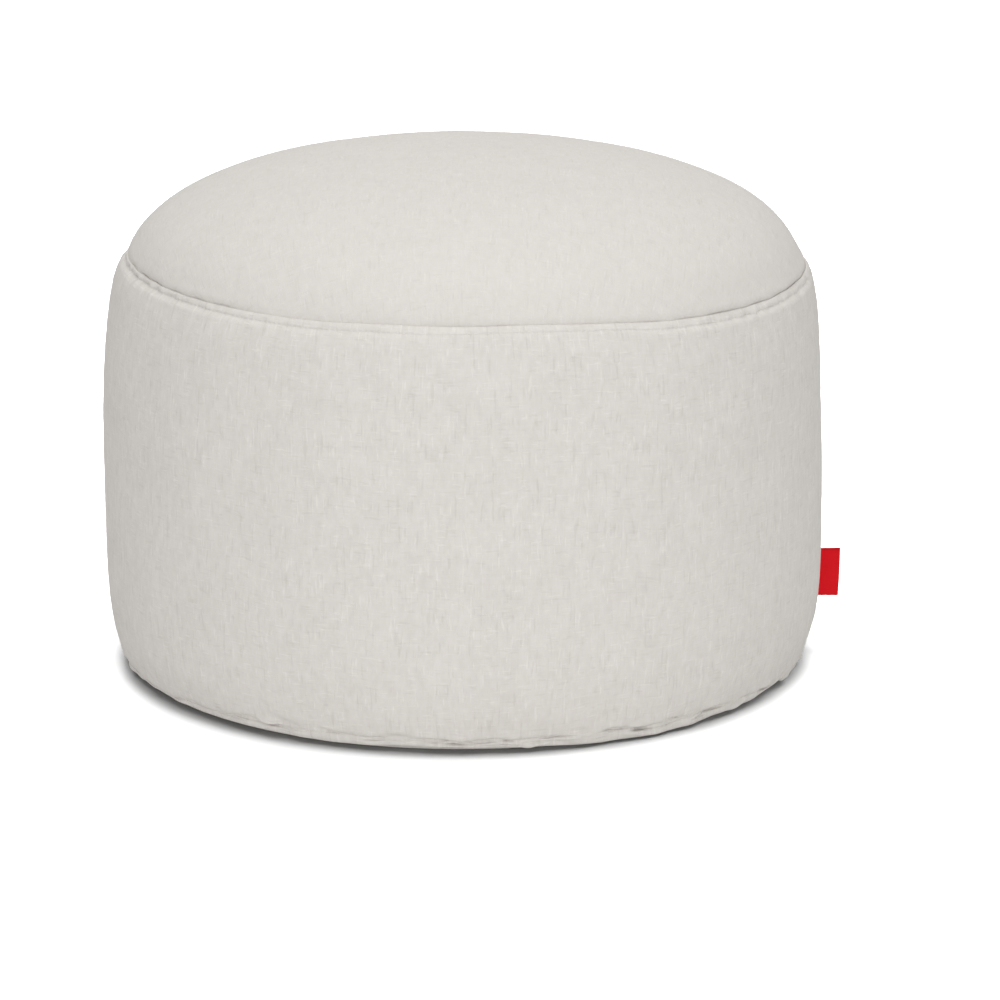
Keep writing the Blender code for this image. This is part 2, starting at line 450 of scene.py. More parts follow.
# ---- Meshes ----
@dataclass
class Skin:
    """A mesh in the making: its points, its faces, and each face's corners on the flat maps."""

    name: str
    points: list[Array] = field(default_factory=list)
    faces: list[Array] = field(default_factory=list)
    maps: dict[str, list[Array]] = field(default_factory=dict)

    def add_points(self, points: Array) -> int:
        """Adds points.

        Args:
            points: The points, in any number of rows.

        Returns:
            The number of the first one.
        """
        start = sum(len(block) for block in self.points)
        self.points.append(points.reshape(-1, 3))
        return start

    def add_faces(self, faces: Array, **corners: Array) -> None:
        """Adds faces of three or four corners.

        Args:
            faces: Point numbers, a row for each face.
            corners: For each flat map, the place of every corner of every face.
        """
        self.faces.append(faces)
        for name, places in corners.items():
            self.maps.setdefault(name, []).append(places.reshape(-1, 2))

    def add_turned_grid(self, points: Array, first_row: Array | None = None, **maps: Arrays) -> Array:
        """Adds a grid that closes on itself around the stool.

        Args:
            points: Rows from the top down, and columns anticlockwise.
            first_row: Numbers of points in the mesh already that stand for the first row, if any.
            maps: For each flat map, the places of every face's left and right corners: each has the
                points' rows and columns.

        Returns:
            Numbers of the last row's points.
        """
        rows, columns = points.shape[:2]
        number = np.empty((rows, columns), int)
        shared = 0 if first_row is None else 1
        if shared:
            number[0] = first_row
        start = self.add_points(points[shared:])
        number[shared:] = start + np.arange((rows - shared) * columns).reshape(-1, columns)
        after = np.roll(number, -1, axis=1)
        faces = np.stack([number[:-1], number[1:], after[1:], after[:-1]], axis=-1)
        places = {
            name: np.stack([left[:-1], left[1:], right[1:], right[:-1]], axis=2)
            for name, (left, right) in maps.items()
        }
        self.add_faces(faces.reshape(-1, 4), **places)
        return number[-1]

    def close(self, ring: Array, points: Array, level: float, faces_up: bool, **maps: Arrays) -> None:
        """Closes a ring around the stool's axis with triangles to one point on the axis.

        Args:
            ring: Numbers of the ring's points, anticlockwise.
            points: The ring's points.
            level: Height of the point that closes it.
            faces_up: Which way the triangles face.
            maps: For each flat map but the cloth's, the places of the ring's points and of the middle.
        """
        peak = self.add_points(np.array([[0.0, 0.0, level]]))
        order = slice(None) if faces_up else slice(None, None, -1)
        pair = [ring, np.roll(ring, -1)][order]
        faces = np.stack([np.full(len(ring), peak), *pair], axis=-1)
        places = {}
        for name, (edge, middle) in {CLOTH_MAP: (points[:, :2], np.zeros(2)), **maps}.items():
            edges = [edge, np.roll(edge, -1, axis=0)][order]
            places[name] = np.stack([np.broadcast_to(middle, edge.shape), *edges], axis=1)
        self.add_faces(faces, **places)

    def make(self, sharp_deg: float = 60.0) -> Object:
        """Makes the mesh object.

        Args:
            sharp_deg: Edges that turn more than this are shaded sharp.

        Returns:
            The new object, in the scene.
        """
        mesh = bpy.data.meshes.new(self.name)
        points = np.concatenate(self.points)
        sizes = np.concatenate([np.full(len(faces), faces.shape[1]) for faces in self.faces])
        corners = np.concatenate([faces.ravel() for faces in self.faces])
        for block, key, values in (
            (mesh.vertices, "co", points.astype(np.float32)),
            (mesh.loops, "vertex_index", corners.astype(np.int32)),
            (mesh.polygons, "loop_start", (np.cumsum(sizes) - sizes).astype(np.int32)),
        ):
            block.add(len(values))
            block.foreach_set(key, values.ravel())
        mesh.update(calc_edges=True)
        for name, blocks in self.maps.items():
            layer = mesh.uv_layers.new(name=name)
            layer.data.foreach_set("uv", np.concatenate(blocks).astype(np.float32).ravel())
        mesh.validate()
        mesh.shade_smooth()
        mesh.set_sharp_from_angle(angle=math.radians(sharp_deg))
        return put(self.name, mesh)


# ---- The filling's pressure ----
def smooth_weights(places: Array) -> tuple[Array, tuple[Array, ...]]:
    """What reads a smooth curve through evenly spaced values.

    Args:
        places: Where to read it, from 0 for the first value.

    Returns:
        The number of the value before each place, and the weights of the value before that one, of
        that one, and of the two after it.
    """
    base = np.floor(places).astype(int)
    t = places - base
    # A cubic whose slope at each value is the mean slope to the values beside it.
    return base, (
        -0.5 * t + t**2 - 0.5 * t**3,
        1.0 - 2.5 * t**2 + 1.5 * t**3,
        0.5 * t + 2.0 * t**2 - 1.5 * t**3,
        -0.5 * t**2 + 0.5 * t**3,
    )


@dataclass(frozen=True)
class ReliefMap:
    """Relief of a ring of cloth between two held edges: rows from edge to edge, columns around."""

    values: Array

    def at(self, share: Array, azimuth: Array) -> Array:
        """Reads the relief smoothly.

        Args:
            share: Share of the way from the first edge to the second, for each point.
            azimuth: Azimuth of each point.

        Returns:
            The relief at each point.
        """
        rows, columns = self.values.shape
        row, row_weights = smooth_weights(np.clip(share, 0.0, 1.0) * (rows - 1))
        column, column_weights = smooth_weights((azimuth % math.tau) / math.tau * columns)
        total = np.zeros(np.broadcast_shapes(np.shape(share), np.shape(azimuth)))
        for down, row_weight in enumerate(row_weights, -1):
            near_row = np.clip(row + down, 0, rows - 1)
            for across, column_weight in enumerate(column_weights, -1):
                total += row_weight * column_weight * self.values[near_row, (column + across) % columns]
        return total


@dataclass
class BeadFilling:
    """The bead filling, whose pressure settles the outer canvas between its seams."""

    form: StoolForm
    columns: int = 240
    crown_rows: int = 20
    band_rows: int = 44
    crown_from: float = 0.130  # the crown inside this radius stays plain
    base_seam: float = 0.004  # height at which the base seam holds the cloth
    pressure: float = 4.0
    ease: float = 0.03  # how much longer the cloth is at its seams than the seams are
    ease_reach: float = 0.030
    ease_lobes: tuple[int, int] = (5, 48)  # of the waves that make the ease uneven around the seams
    ease_waves: Pair = (0.2, 1.0)  # sizes of those waves
    top_ease: float = 0.6  # the ease at the top seam, as a share of the base seam's
    least_ease: float = 0.25  # share of the ease where the seams have least of it
    quality: int = 6
    stretch_stiffness: float = 30.0
    shear_stiffness: float = 10.0
    bend_stiffness: float = 0.4
    frames: int = 20
    most_relief: float = 0.0014
    seed: int = 7

    def sleeve(self) -> Arrays:
        """Lays out the outer canvas before it is pressed.

        Returns:
            Radii and heights of its rows and columns, from the crown over the top seam to the base.
        """
        azimuth = self.azimuths()
        seam = self.form.seam_height(azimuth)
        rim = self.form.crown_radius(seam)
        across = np.sin(np.linspace(0.0, math.pi / 2, self.crown_rows + 1))[:, None]
        crown_r = self.crown_from + (rim - self.crown_from) * across
        down = np.linspace(0.0, 1.0, self.band_rows + 1)[1:, None]
        band_z = seam + (self.base_seam - seam) * down
        radius = np.concatenate([crown_r, self.form.wall_radius(band_z)])
        return radius, np.concatenate([self.form.crown_height(crown_r), band_z])

    def azimuths(self) -> Array:
        """Azimuth of each column."""
        return even_turn(self.columns)

    def held_rows(self) -> tuple[int, int, int]:
        """The rows that stay where they are: the crown's inner row and the two seams."""
        return 0, self.crown_rows, self.crown_rows + self.band_rows

    def share_down_crown(self, radius: Array) -> Array:
        """Share of the way from the crown's inner row to the top seam, for some radii.

        Args:
            radius: Radius of each point.

        Returns:
            The share at each radius.
        """
        rim = self.form.crown_radius(np.array(self.form.seam_mean))
        across = np.clip((radius - self.crown_from) / (rim - self.crown_from), 0.0, 1.0)
        return np.arcsin(across) / (math.pi / 2)

    def share_down_band(self, height: Array, azimuth: Array) -> Array:
        """Share of the way from the top seam to the base seam, for some heights."""
        seam = self.form.seam_height(azimuth)
        return (seam - height) / (seam - self.base_seam)

    def ease_weights(self, height: Array) -> Array:
        """How much of the ease each point takes: most at the seams, and unevenly around them.

        Args:
            height: Heights of the canvas's rows and columns.

        Returns:
            Each point's share of the ease.
        """
        rng = np.random.default_rng(self.seed)
        azimuth = self.azimuths()
        uneven = sum(
            np.cos(lobes * azimuth + rng.uniform(0.0, math.tau)) * rng.uniform(*self.ease_waves)
            for lobes in range(*self.ease_lobes)
        )
        uneven = 0.5 + 0.5 * np.tanh(uneven / uneven.std())
        seam = self.form.seam_height(azimuth)
        near_top = bell(height - seam, self.ease_reach) * self.top_ease
        near_base = bell(height - self.base_seam, self.ease_reach)
        share = self.least_ease + (1.0 - self.least_ease) * uneven
        return np.maximum(near_top, near_base) * share

    def pressed(self, points: Array, ease: Array) -> Array:
        """Runs the cloth under the filling's pressure.

        Args:
            points: Rows and columns of the canvas.
            ease: Each point's share of the ease.

        Returns:
            The same points, settled.
        """
        skin = Skin("pressed_canvas")
        skin.add_turned_grid(points)
        canvas = skin.make()
        rows, columns = points.shape[:2]
        held = canvas.vertex_groups.new(name="held")
        for row in self.held_rows():
            held.add(list(range(row * columns, (row + 1) * columns)), 1.0, "REPLACE")
        eased = canvas.vertex_groups.new(name="eased")
        for number, weight in enumerate(ease.ravel()):
            eased.add([number], float(weight), "REPLACE")
        cloth = canvas.modifiers.new("filling", "CLOTH")
        cloth.point_cache.frame_start, cloth.point_cache.frame_end = 1, self.frames
        cloth.collision_settings.use_collision = False
        settings = cloth.settings
        settings.quality = self.quality
        settings.tension_stiffness = settings.compression_stiffness = self.stretch_stiffness
        settings.shear_stiffness = self.shear_stiffness
        settings.bending_stiffness = self.bend_stiffness
        settings.vertex_group_mass = held.name
        settings.vertex_group_shrink = eased.name
        settings.shrink_min, settings.shrink_max = 0.0, -self.ease
        settings.use_pressure = True
        settings.uniform_pressure_force = self.pressure
        settings.effector_weights.gravity = 0.0
        for step in range(1, self.frames + 1):
            bpy.context.scene.frame_set(step)
        with bpy.context.temp_override(object=canvas, active_object=canvas):
            bpy.ops.object.modifier_apply(modifier=cloth.name)
        bpy.context.scene.frame_set(1)
        settled = np.empty(rows * columns * 3, np.float32)
        canvas.data.vertices.foreach_get("co", settled)
        bpy.data.objects.remove(canvas, do_unlink=True)
        return settled.astype(float).reshape(points.shape)

    def settle(self) -> tuple[ReliefMap, ReliefMap]:
        """Presses the canvas and measures what the pressure did to it.

        Returns:
            The crown's relief and the band's, each without the part that is even all around.
        """
        radius, height = self.sleeve()
        seam_row = self.crown_rows
        points = turned(radius, self.azimuths()[None, :], height)
        settled = self.pressed(points, self.ease_weights(height))
        normal_r, normal_z = profile_normals(radius, height)
        outward = np.hypot(settled[..., 0], settled[..., 1]) - radius
        relief = outward * normal_r + (settled[..., 2] - height) * normal_z
        relief -= relief.mean(axis=1, keepdims=True)
        for row in self.held_rows():
            relief[row] = 0.0
        log.info(
            "filling: the canvas settled by %.2f mm on average and %.2f mm at most",
            relief.std() * 1000,
            np.abs(relief).max() * 1000,
        )
        relief = self.most_relief * np.tanh(relief / self.most_relief)
        return ReliefMap(relief[: seam_row + 1]), ReliefMap(relief[seam_row:])


# ---- Seams ----
def puffed_lip(start: Arrays, end: Arrays, rise: Array, share: Array, lean: float = 1.0) -> Arrays:
    """A rounded lip of folded cloth between two grooves.

    Args:
        start: Radius and height of the upper groove.
        end: Radius and height of the lower groove.
        rise: How far the lip's crest stands off the straight line between them.
        share: Share of the way down, for each row.
        lean: Below 1, the crest lies nearer to the upper groove.

    Returns:
        Radii and heights of the lip's rows.
    """
    step_r, step_z = end[0] - start[0], end[1] - start[1]
    size = np.hypot(step_r, step_z)
    off_crest = np.abs(2.0 * share**lean - 1.0)
    breadth, steepness = 2.4, 0.65  # a higher breadth and a lower steepness make the crest squarer
    puff = rise * np.clip(1.0 - off_crest**breadth, 0.0, 1.0) ** steepness
    radius = start[0] + step_r * share - puff * step_z / size
    height = start[1] + step_z * share + puff * step_r / size
    return radius, height


@dataclass(frozen=True)
class TopSeam:
    """The seam between the crown and the band, with a topstitched lip on the band."""

    form: StoolForm
    gap: float = 0.0001
    groove: float = 0.0016
    groove_width: float = 0.0019
    groove_pull: Around = Around(
        (
            (-180, 0.25), (-171, 0.25), (-161, 0.90), (-135, 1.05), (-124, 0.10), (-104, 0.15),
            (-96, 0.55), (-60, 0.55), (-50, 1.05), (-42, 1.10), (-28, 1.05), (-16, 1.00), (-7, 0.20),
            (6, 0.20), (40, 0.90), (62, 0.25), (88, 0.80), (118, 1.00), (134, 0.30), (155, 0.80),
            (172, 0.55),
        )
    )
    groove_ripple: Ripple = Ripple((14, 60), 0.22, 31)
    groove_roundness: float = 1.5  # 1 is a sharp cut, and 2 a round hollow
    roll: float = 0.0004  # how far the crown's edge rolls out above the seam
    roll_height: float = 0.0045
    roll_width: float = 0.003
    stitch_drop: float = 0.0034
    stitch_wander: Around = Around(
        (
            (-180, -0.0008), (-160, -0.0004), (-140, -0.0002), (-126, 0.0005), (-110, 0.0009),
            (-104, 0.0007), (-98, 0.0011), (-92, 0.0005), (-86, 0.0), (-70, 0.0), (-64, -0.0003),
            (-58, 0.0008), (-45, 0.0008), (-8, 0.0004), (20, 0.0003), (90, -0.0002), (150, -0.0008),
        )
    )
    stitch_groove: float = 0.0015
    stitch_width: float = 0.0022
    stitch_pull: Around = Around(
        (
            (-180, 1.30), (-160, 1.70), (-138, 1.60), (-126, 0.80), (-116, 0.80), (-103, 0.70),
            (-97, 0.15), (-76, 0.25), (-60, 0.55), (-52, 1.25), (-35, 1.50), (-14, 1.40), (-6, 0.30),
            (10, 0.30), (30, 0.60), (60, 0.90), (100, 0.40), (140, 0.90),
        )
    )
    stitch_ripple: Ripple = Ripple((30, 120), 0.22, 32)
    lip_rise: float = 0.0011
    lip_give: float = 0.4  # share of the lip's rise that follows the stitches' pull
    lip_lean: float = 0.65
    stitches: int = 394

    def depth(self, azimuth: Array) -> Array:
        """Depth of the seam's groove, tight in some places and slack in others."""
        return self.groove * self.groove_pull.at(azimuth) * self.groove_ripple.at(azimuth)

    def rim_radius(self, azimuth: Array) -> Array:
        """Radius of the bottom of the groove."""
        rim = self.form.crown_radius(self.form.seam_height(azimuth))
        return rim - self.form.tuck_of_crown(azimuth, np.zeros_like(azimuth)) - self.depth(azimuth)

    def stitch_height(self, azimuth: Array) -> Array:
        """Height of the topstitching."""
        return self.form.seam_height(azimuth) - self.stitch_drop - self.stitch_wander.at(azimuth)

    def stitch_depth(self, azimuth: Array) -> Array:
        """How deep the topstitching sinks into the canvas."""
        return self.stitch_groove * self.stitch_pull.at(azimuth) * self.stitch_ripple.at(azimuth)


@dataclass(frozen=True)
class BaseSeam:
    """The seam between the band and the base panel, with a topstitched and eased lip on the band."""

    stitch_height: float = 0.0094
    stitch_wander: Ripple = Ripple((3, 26), 0.10, 43)
    stitch_groove: float = 0.0009
    stitch_width: float = 0.0010
    stitch_ripple: Ripple = Ripple((6, 60), 0.85, 41)
    lip_radius: float = 0.2368
    lip_underside: float = 0.0037
    lip_sag: Around = Around(
        (
            (-180, 1.2), (-156, 1.5), (-151, 2.0), (-146, 1.7), (-140, 1.2), (-125, 1.2),
            (-110, 0.85), (-95, 1.2), (-82, 1.05), (-72, 0.60), (-62, 0.35), (-50, 0.65),
            (-44, 1.15), (-38, 1.4), (-33, 1.9), (-28, 1.9), (-18, 1.5), (0, 1.0), (90, 1.0),
        )
    )
    lip_rise: float = 0.0013
    lip_ripple: Ripple = Ripple((16, 70), 0.30, 42)
    pucker_lift: float = 0.35
    panel_radius: float = 0.2322
    panel_thickness: float = 0.0026
    panel_flat_radius: float = 0.2265
    panel_rim_lift: float = 0.0021
    gap: float = 0.0003
    stitches: int = 396

    def stitch_line(self, azimuth: Array) -> Array:
        """Height of the topstitching."""
        return self.stitch_height * self.stitch_wander.at(azimuth)

    def stitch_depth(self, azimuth: Array) -> Array:
        """How deep the topstitching sinks into the canvas."""
        return self.stitch_groove * self.stitch_ripple.at(azimuth)


@dataclass(frozen=True)
class SideSeam:
    """The band's side seam at azimuth 0: a groove, a flat lip on its back side and its topstitching."""

    groove: float = 0.0011
    groove_width: float = 0.0011
    lip: Pair = (0.0016, 0.0056)  # from and to, along the band from the seam
    lip_rise: float = 0.0005
    lip_slope: float = 0.0004  # how wide the fall of the lip's edges is
    stitch_at: float = 0.0064
    stitch_groove: float = 0.0006
    stitch_width: float = 0.0008
    stitch_pitch: float = 0.0038

    def relief(self, along: Array) -> Array:
        """Relief of the band at some distances along it from the seam.

        Args:
            along: Distance of each point along the band from the seam.

        Returns:
            The relief at each distance.
        """
        start, end = self.lip
        lip = np.tanh((along - start) / self.lip_slope) - np.tanh((along - end) / self.lip_slope)
        groove = bell(along, self.groove_width)
        stitch = bell(along - self.stitch_at, self.stitch_width)
        return self.lip_rise * (0.5 * lip) - self.groove * groove - self.stitch_groove * stitch


# ---- Panels ----
def with_full_turn(places: Array) -> Arrays:
    """A flat map whose last column stands for the first one again, as each face's two sides."""
    return places[:, :-1], places[:, 1:]


def finish_piece(piece: Object, slot: str, material: Material, *nodes: str) -> None:
    """Dresses a piece, puts it on the frame's one body and hides the solids that it stands for.

    Args:
        piece: The piece.
        slot: Not used.
        material: What it is made of.
        nodes: The frame's solids that it replaces.
    """
    piece.data.materials.append(material)
    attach(piece, "root")
    if nodes:
        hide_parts(*nodes)
    log.info("%s: %d faces", piece.name, len(piece.data.polygons))


@dataclass
class TopPanel:
    """The crowned top panel: a dome that rolls over into the top seam's groove."""

    form: StoolForm
    seam: TopSeam
    filling: BeadFilling
    settled: ReliefMap
    unevenness: Sequence[RandomWaves]
    swells: Sequence[Swell]
    lattice_rings: int = 80
    lattice_radius: float = 0.215
    rim_steps: tuple[float, float, float] = (0.0004, 1.22, 0.0026)  # from the seam: first, growth, most
    map_radius: float = 0.495  # of the unit square, for the face
    closed_map_radius: float = 0.055  # of the unit square, for the hidden underside
    map_margin: float = 0.005  # to the square's edges
    rim_margin: float = 0.002  # the dome's slope is read no nearer than this to its rim
    quiet: float = 0.010  # the unevenness fades out this close to the seam
    arc_reads: int = 4000  # along the profile, to measure it
    slack: float = 0.5  # share of the band's unevenness, as the crown is pulled tighter
    fade_in: float = 0.045  # the settled relief starts softly over this much radius

    def relief(self, radius: Array, azimuth: Array, height: Array) -> Array:
        """The settled canvas and its unevenness at some points of the dome.

        Args:
            radius: Radius of each point.
            azimuth: Azimuth of each point.
            height: Height of each point.

        Returns:
            The relief at each point.
        """
        fade = smooth_step(height - self.form.seam_height(azimuth), 0.0, self.quiet)
        points = turned(radius, azimuth, height)
        uneven = self.slack * sum(waves.at(points) for waves in self.unevenness)
        start = self.filling.crown_from
        pressed = self.settled.at(self.filling.share_down_crown(radius), azimuth)
        swollen = sum(swell.at(azimuth, height) for swell in self.swells)
        return (uneven + swollen + pressed * smooth_step(radius, start, start + self.fade_in)) * fade

    def lifted(self, radius: Array, azimuth: Array, height: Array) -> Arrays:
        """Moves points of the dome out along its normals by the relief.

        Args:
            radius: Radius of each point.
            azimuth: Azimuth of each point.
            height: Height of each point.

        Returns:
            Radii and heights of the moved points.
        """
        step = 1e-4
        near = np.clip(radius, 2 * step, self.form.crown_rim_radius - self.rim_margin)
        slope = (self.form.crown_height(near + step) - self.form.crown_height(near - step)) / (2 * step)
        size = np.hypot(slope, 1.0)
        relief = self.relief(radius, azimuth, height)
        return radius - relief * slope / size, height + relief / size

    def arc(self, radius: Array) -> Array:
        """Length of the cloth from the middle out to some radii.

        Args:
            radius: Radius of each point.

        Returns:
            The length to each radius.
        """
        table = np.linspace(0.0, self.form.crown_rim_radius, self.arc_reads)
        steps = np.hypot(np.diff(table), np.diff(self.form.crown_height(table)))
        return np.interp(radius, table, reached(steps))

    def flat_places(self, arc: Array, azimuth: Array) -> dict[str, Array]:
        """Places on the cloth and in the unit square of points at some distances from the middle.

        Args:
            arc: Length of the cloth from the middle to each point.
            azimuth: Azimuth of each point.

        Returns:
            For each flat map, the places of the points.
        """
        widest = float(self.arc(np.array(self.form.crown_rim_radius)))
        cloth = headings(azimuth) * arc[..., None]
        return {CLOTH_MAP: cloth, BAKE_MAP: 0.5 + cloth / widest * self.map_radius}

    def add_lattice(self, skin: Skin) -> Array:
        """Adds the dome's middle as even squares bent into a disc.

        Args:
            skin: The mesh that it goes into.

        Returns:
            Numbers of its edge's points, anticlockwise from azimuth 0.
        """
        side = np.linspace(-1.0, 1.0, 2 * self.lattice_rings + 1)
        x, y = np.meshgrid(side, side, indexing="ij")
        ring = np.maximum(np.abs(x), np.abs(y))
        wide = np.abs(x) >= np.abs(y)
        safe_x, safe_y = np.where(x == 0, 1.0, x), np.where(y == 0, 1.0, y)
        from_x = math.pi / 4 * y / safe_x + np.where(x < 0, math.pi, 0.0)
        from_y = math.pi / 2 - math.pi / 4 * x / safe_y + np.where(y < 0, math.pi, 0.0)
        azimuth = np.where(ring == 0, 0.0, np.where(wide, from_x, from_y)) % math.tau
        radius = ring * self.lattice_radius
        moved_r, moved_z = self.lifted(radius, azimuth, self.form.crown_height(radius))
        start = skin.add_points(turned(moved_r, azimuth, moved_z))
        count = len(side)
        number = start + np.arange(count * count).reshape(count, count)
        corners = [np.s_[:-1, :-1], np.s_[1:, :-1], np.s_[1:, 1:], np.s_[:-1, 1:]]
        faces = np.stack([number[c] for c in corners], axis=-1).reshape(-1, 4)
        flat = self.flat_places(self.arc(radius), azimuth)
        places = {name: np.stack([m[c] for c in corners], axis=2) for name, m in flat.items()}
        skin.add_faces(faces, **places)
        edge = ring == 1.0
        return number[edge][np.argsort(azimuth[edge])]

    def rim(self, azimuth: Array) -> Arrays:
        """The dome's outer rows, from the lattice's edge down to the groove.

        Args:
            azimuth: Azimuth of each column.

        Returns:
            Radii and heights of the rows and columns.
        """
        top = float(self.form.crown_height(np.array(self.lattice_radius)))
        low = self.form.seam_height(azimuth) + self.seam.gap / 2
        share = opening_steps(top - self.form.seam_mean, *self.rim_steps)[::-1, None]
        height = low + (top - low) * share
        above = height - low
        groove = np.exp(-((above / self.seam.groove_width) ** self.seam.groove_roundness))
        inset = self.seam.depth(azimuth) * groove + self.form.tuck_of_crown(azimuth, above)
        roll = self.seam.roll * bell(above - self.seam.roll_height, self.seam.roll_width)
        radius = self.form.crown_radius(height) - inset + roll
        return self.lifted(radius, azimuth, height)

    def build(self, canvas: Material) -> None:
        """Builds and dresses the top panel.

        Args:
            canvas: The canvas material.
        """
        skin = Skin("top_panel_cover")
        edge = self.add_lattice(skin)
        azimuth = even_turn(len(edge))
        radius, height = self.rim(azimuth)
        arc = self.arc(np.array(self.lattice_radius)) + length_to_rows(radius, height)
        turn = np.append(azimuth, math.tau)
        flat = self.flat_places(np.broadcast_to(arc[:, None], (len(arc), len(turn))), turn)
        sides = {name: with_full_turn(places) for name, places in flat.items()}
        points = turned(radius, azimuth, height)
        ring = skin.add_turned_grid(points, first_row=edge, **sides)
        hidden = self.closed_map_radius + self.map_margin
        places = headings(azimuth) * self.closed_map_radius + hidden, np.full(2, hidden)
        level = self.form.seam_mean + self.seam.gap / 2
        skin.close(ring, points[-1], level, faces_up=False, **{BAKE_MAP: places})
        cover = skin.make()
        finish_piece(cover, "canvas", canvas, "top_panel")


@dataclass
class SideBand:
    """The tall side band with its two lips, its side seam and its puckers."""

    form: StoolForm
    top: TopSeam
    base: BaseSeam
    side: SideSeam
    filling: BeadFilling
    settled: ReliefMap
    unevenness: Sequence[RandomWaves]
    gathers: Sequence[tuple[Gathers, Gathers]]  # of the top seam and of the base seam
    swells: Sequence[Swell]
    lip_steps: int = 20
    columns: int = 690
    fine_step: float = 0.0006
    fine_reach: Pair = (0.0054, 0.0108)  # before and after the side seam
    wall_steps: tuple[float, float, float] = (0.0004, 1.3, 0.0040)  # from each row: first, growth, most
    wall_reads: int = 2000  # along the profile, to measure it
    measured: int = 40  # about how many columns down_to_rows takes the mean of
    puff_shares: Pair = (0.3, 0.4)  # of the upper and of the lower stitches' depth
    puff_at: float = 0.003  # how far from the stitches the canvas puffs out
    puff_width: float = 0.002
    quiet_from: float = 0.002  # the unevenness starts this far below the top seam
    quiet: float = 0.010  # and is whole this much further down, as it is this far above the base
    side_share: float = 0.35  # of the side seam's relief, where it runs into the other two
    eased_rows: tuple[int, int] = (4, 6)  # over which the relief starts at the top and ends at the base
    side_stitches: Pair = (0.0045, 0.004)  # beside the side seam, and clear of the other rows
    strips: int = 4
    strip_size: Pair = (0.49, 0.40)  # of the unit square, along and up the band
    strip_pitch: Pair = (0.505, 0.42)
    closed_map_radius: float = 0.06  # of the unit square, for the two hidden faces
    closed_map_middles: tuple[Pair, ...] = ((0.1, 0.92), (0.3, 0.92))

    @property
    def girth(self) -> float:
        """Length of the band around the belly."""
        return math.tau * self.form.belly_radius

    def azimuths(self) -> Array:
        """Azimuth of each column: fine steps at the side seam and even ones around the rest.

        Returns:
            The azimuths, from 0 up.
        """
        before, after = self.fine_reach
        start = np.arange(0.0, after, self.fine_step)
        end = self.girth - np.arange(before, 0.0, -self.fine_step)
        middle = np.linspace(after, self.girth - before, self.columns, endpoint=False)
        return np.concatenate([start, middle, end]) / self.form.belly_radius

    def along(self, azimuth: Array) -> Array:
        """Distance along the band from the side seam, towards the back."""
        return ((azimuth + math.pi) % math.tau - math.pi) * self.form.belly_radius

    def wall(self, azimuth: Array) -> Arrays:
        """The band between its two topstitched rows, from the top down.

        Args:
            azimuth: Azimuth of each column.

        Returns:
            Radii and heights of the rows and columns.
        """
        bottom, bottom_mean = self.base.stitch_line(azimuth), self.base.stitch_height
        top_mean = self.form.seam_mean - self.top.stitch_drop
        table = np.linspace(top_mean, bottom_mean, self.wall_reads)
        length = reached(np.hypot(np.diff(table), np.diff(self.form.wall_radius(table))))
        steps = closing_steps(length[-1], *self.wall_steps)
        fallen = (top_mean - table) / (top_mean - bottom_mean)
        fall = np.interp(steps * length[-1], length, fallen)[:, None]
        top = self.top.stitch_height(azimuth)
        height = top + (bottom - top) * fall
        down, up = top - height, height - bottom
        upper, lower = self.top.stitch_depth(azimuth), self.base.stitch_depth(azimuth)
        groove = upper * bell(down, self.top.stitch_width) + lower * bell(up, self.base.stitch_width)
        by_top, by_base = self.puff_shares
        puff = by_top * upper * bell(down - self.puff_at, self.puff_width)
        puff += by_base * lower * bell(up - self.puff_at, self.puff_width)
        radius = self.form.wall_radius(height) - self.form.tuck(azimuth, height) - groove + puff
        return radius + self.form.pucker(azimuth, height), height

    def base_lip(self, azimuth: Array, stitch: Arrays) -> Arrays:
        """The lip below the lower topstitching, and its turn under to the base panel.

        Args:
            azimuth: Azimuth of each column.
            stitch: Radius and height of the lower topstitching.

        Returns:
            Radii and heights of the rows and columns below the topstitching.
        """
        bulge = self.form.pucker(azimuth, np.zeros_like(azimuth))
        edge_r = self.base.lip_radius + bulge
        edge_z = self.base.lip_underside * self.base.lip_sag.at(azimuth)
        edge_z += np.abs(bulge) * self.base.pucker_lift
        share = cosine_steps(self.lip_steps)[1:, None]
        rise = self.base.lip_rise * self.base.lip_ripple.at(azimuth)
        lip_r, lip_z = puffed_lip(stitch, (edge_r, edge_z), rise, share)
        inner = self.base.panel_radius + 2 * self.base.gap
        top = self.base.panel_thickness + self.base.gap
        ones = np.ones_like(azimuth)
        under_r = np.stack([(edge_r + inner) / 2, ones * inner])
        under_z = np.stack([(edge_z + top) / 2, ones * top])
        return np.concatenate([lip_r, under_r]), np.concatenate([lip_z, under_z])

    def section(self, azimuth: Array) -> Arrays:
        """The band's face from the top seam's groove to the base panel, before any relief.

        Args:
            azimuth: Azimuth of each column.

        Returns:
            Radii and heights of the rows and columns.
        """
        wall_r, wall_z = self.wall(azimuth)
        rim = self.top.rim_radius(azimuth), self.form.seam_height(azimuth) - self.top.gap / 2
        share = cosine_steps(self.lip_steps)[:-1, None]
        pull = 1.0 - self.top.lip_give + self.top.lip_give * self.top.stitch_pull.at(azimuth)
        rise = self.top.lip_rise * pull
        lip_r, lip_z = puffed_lip(rim, (wall_r[0], wall_z[0]), rise, share, self.top.lip_lean)
        base_r, base_z = self.base_lip(azimuth, (wall_r[-1], wall_z[-1]))
        return np.concatenate([lip_r, wall_r, base_r]), np.concatenate([lip_z, wall_z, base_z])

    def stitch_rows(self, rows: int) -> tuple[int, int]:
        """Numbers of the rows that the upper and the lower topstitching follow."""
        return self.lip_steps, rows - 1 - self.lip_steps - 2

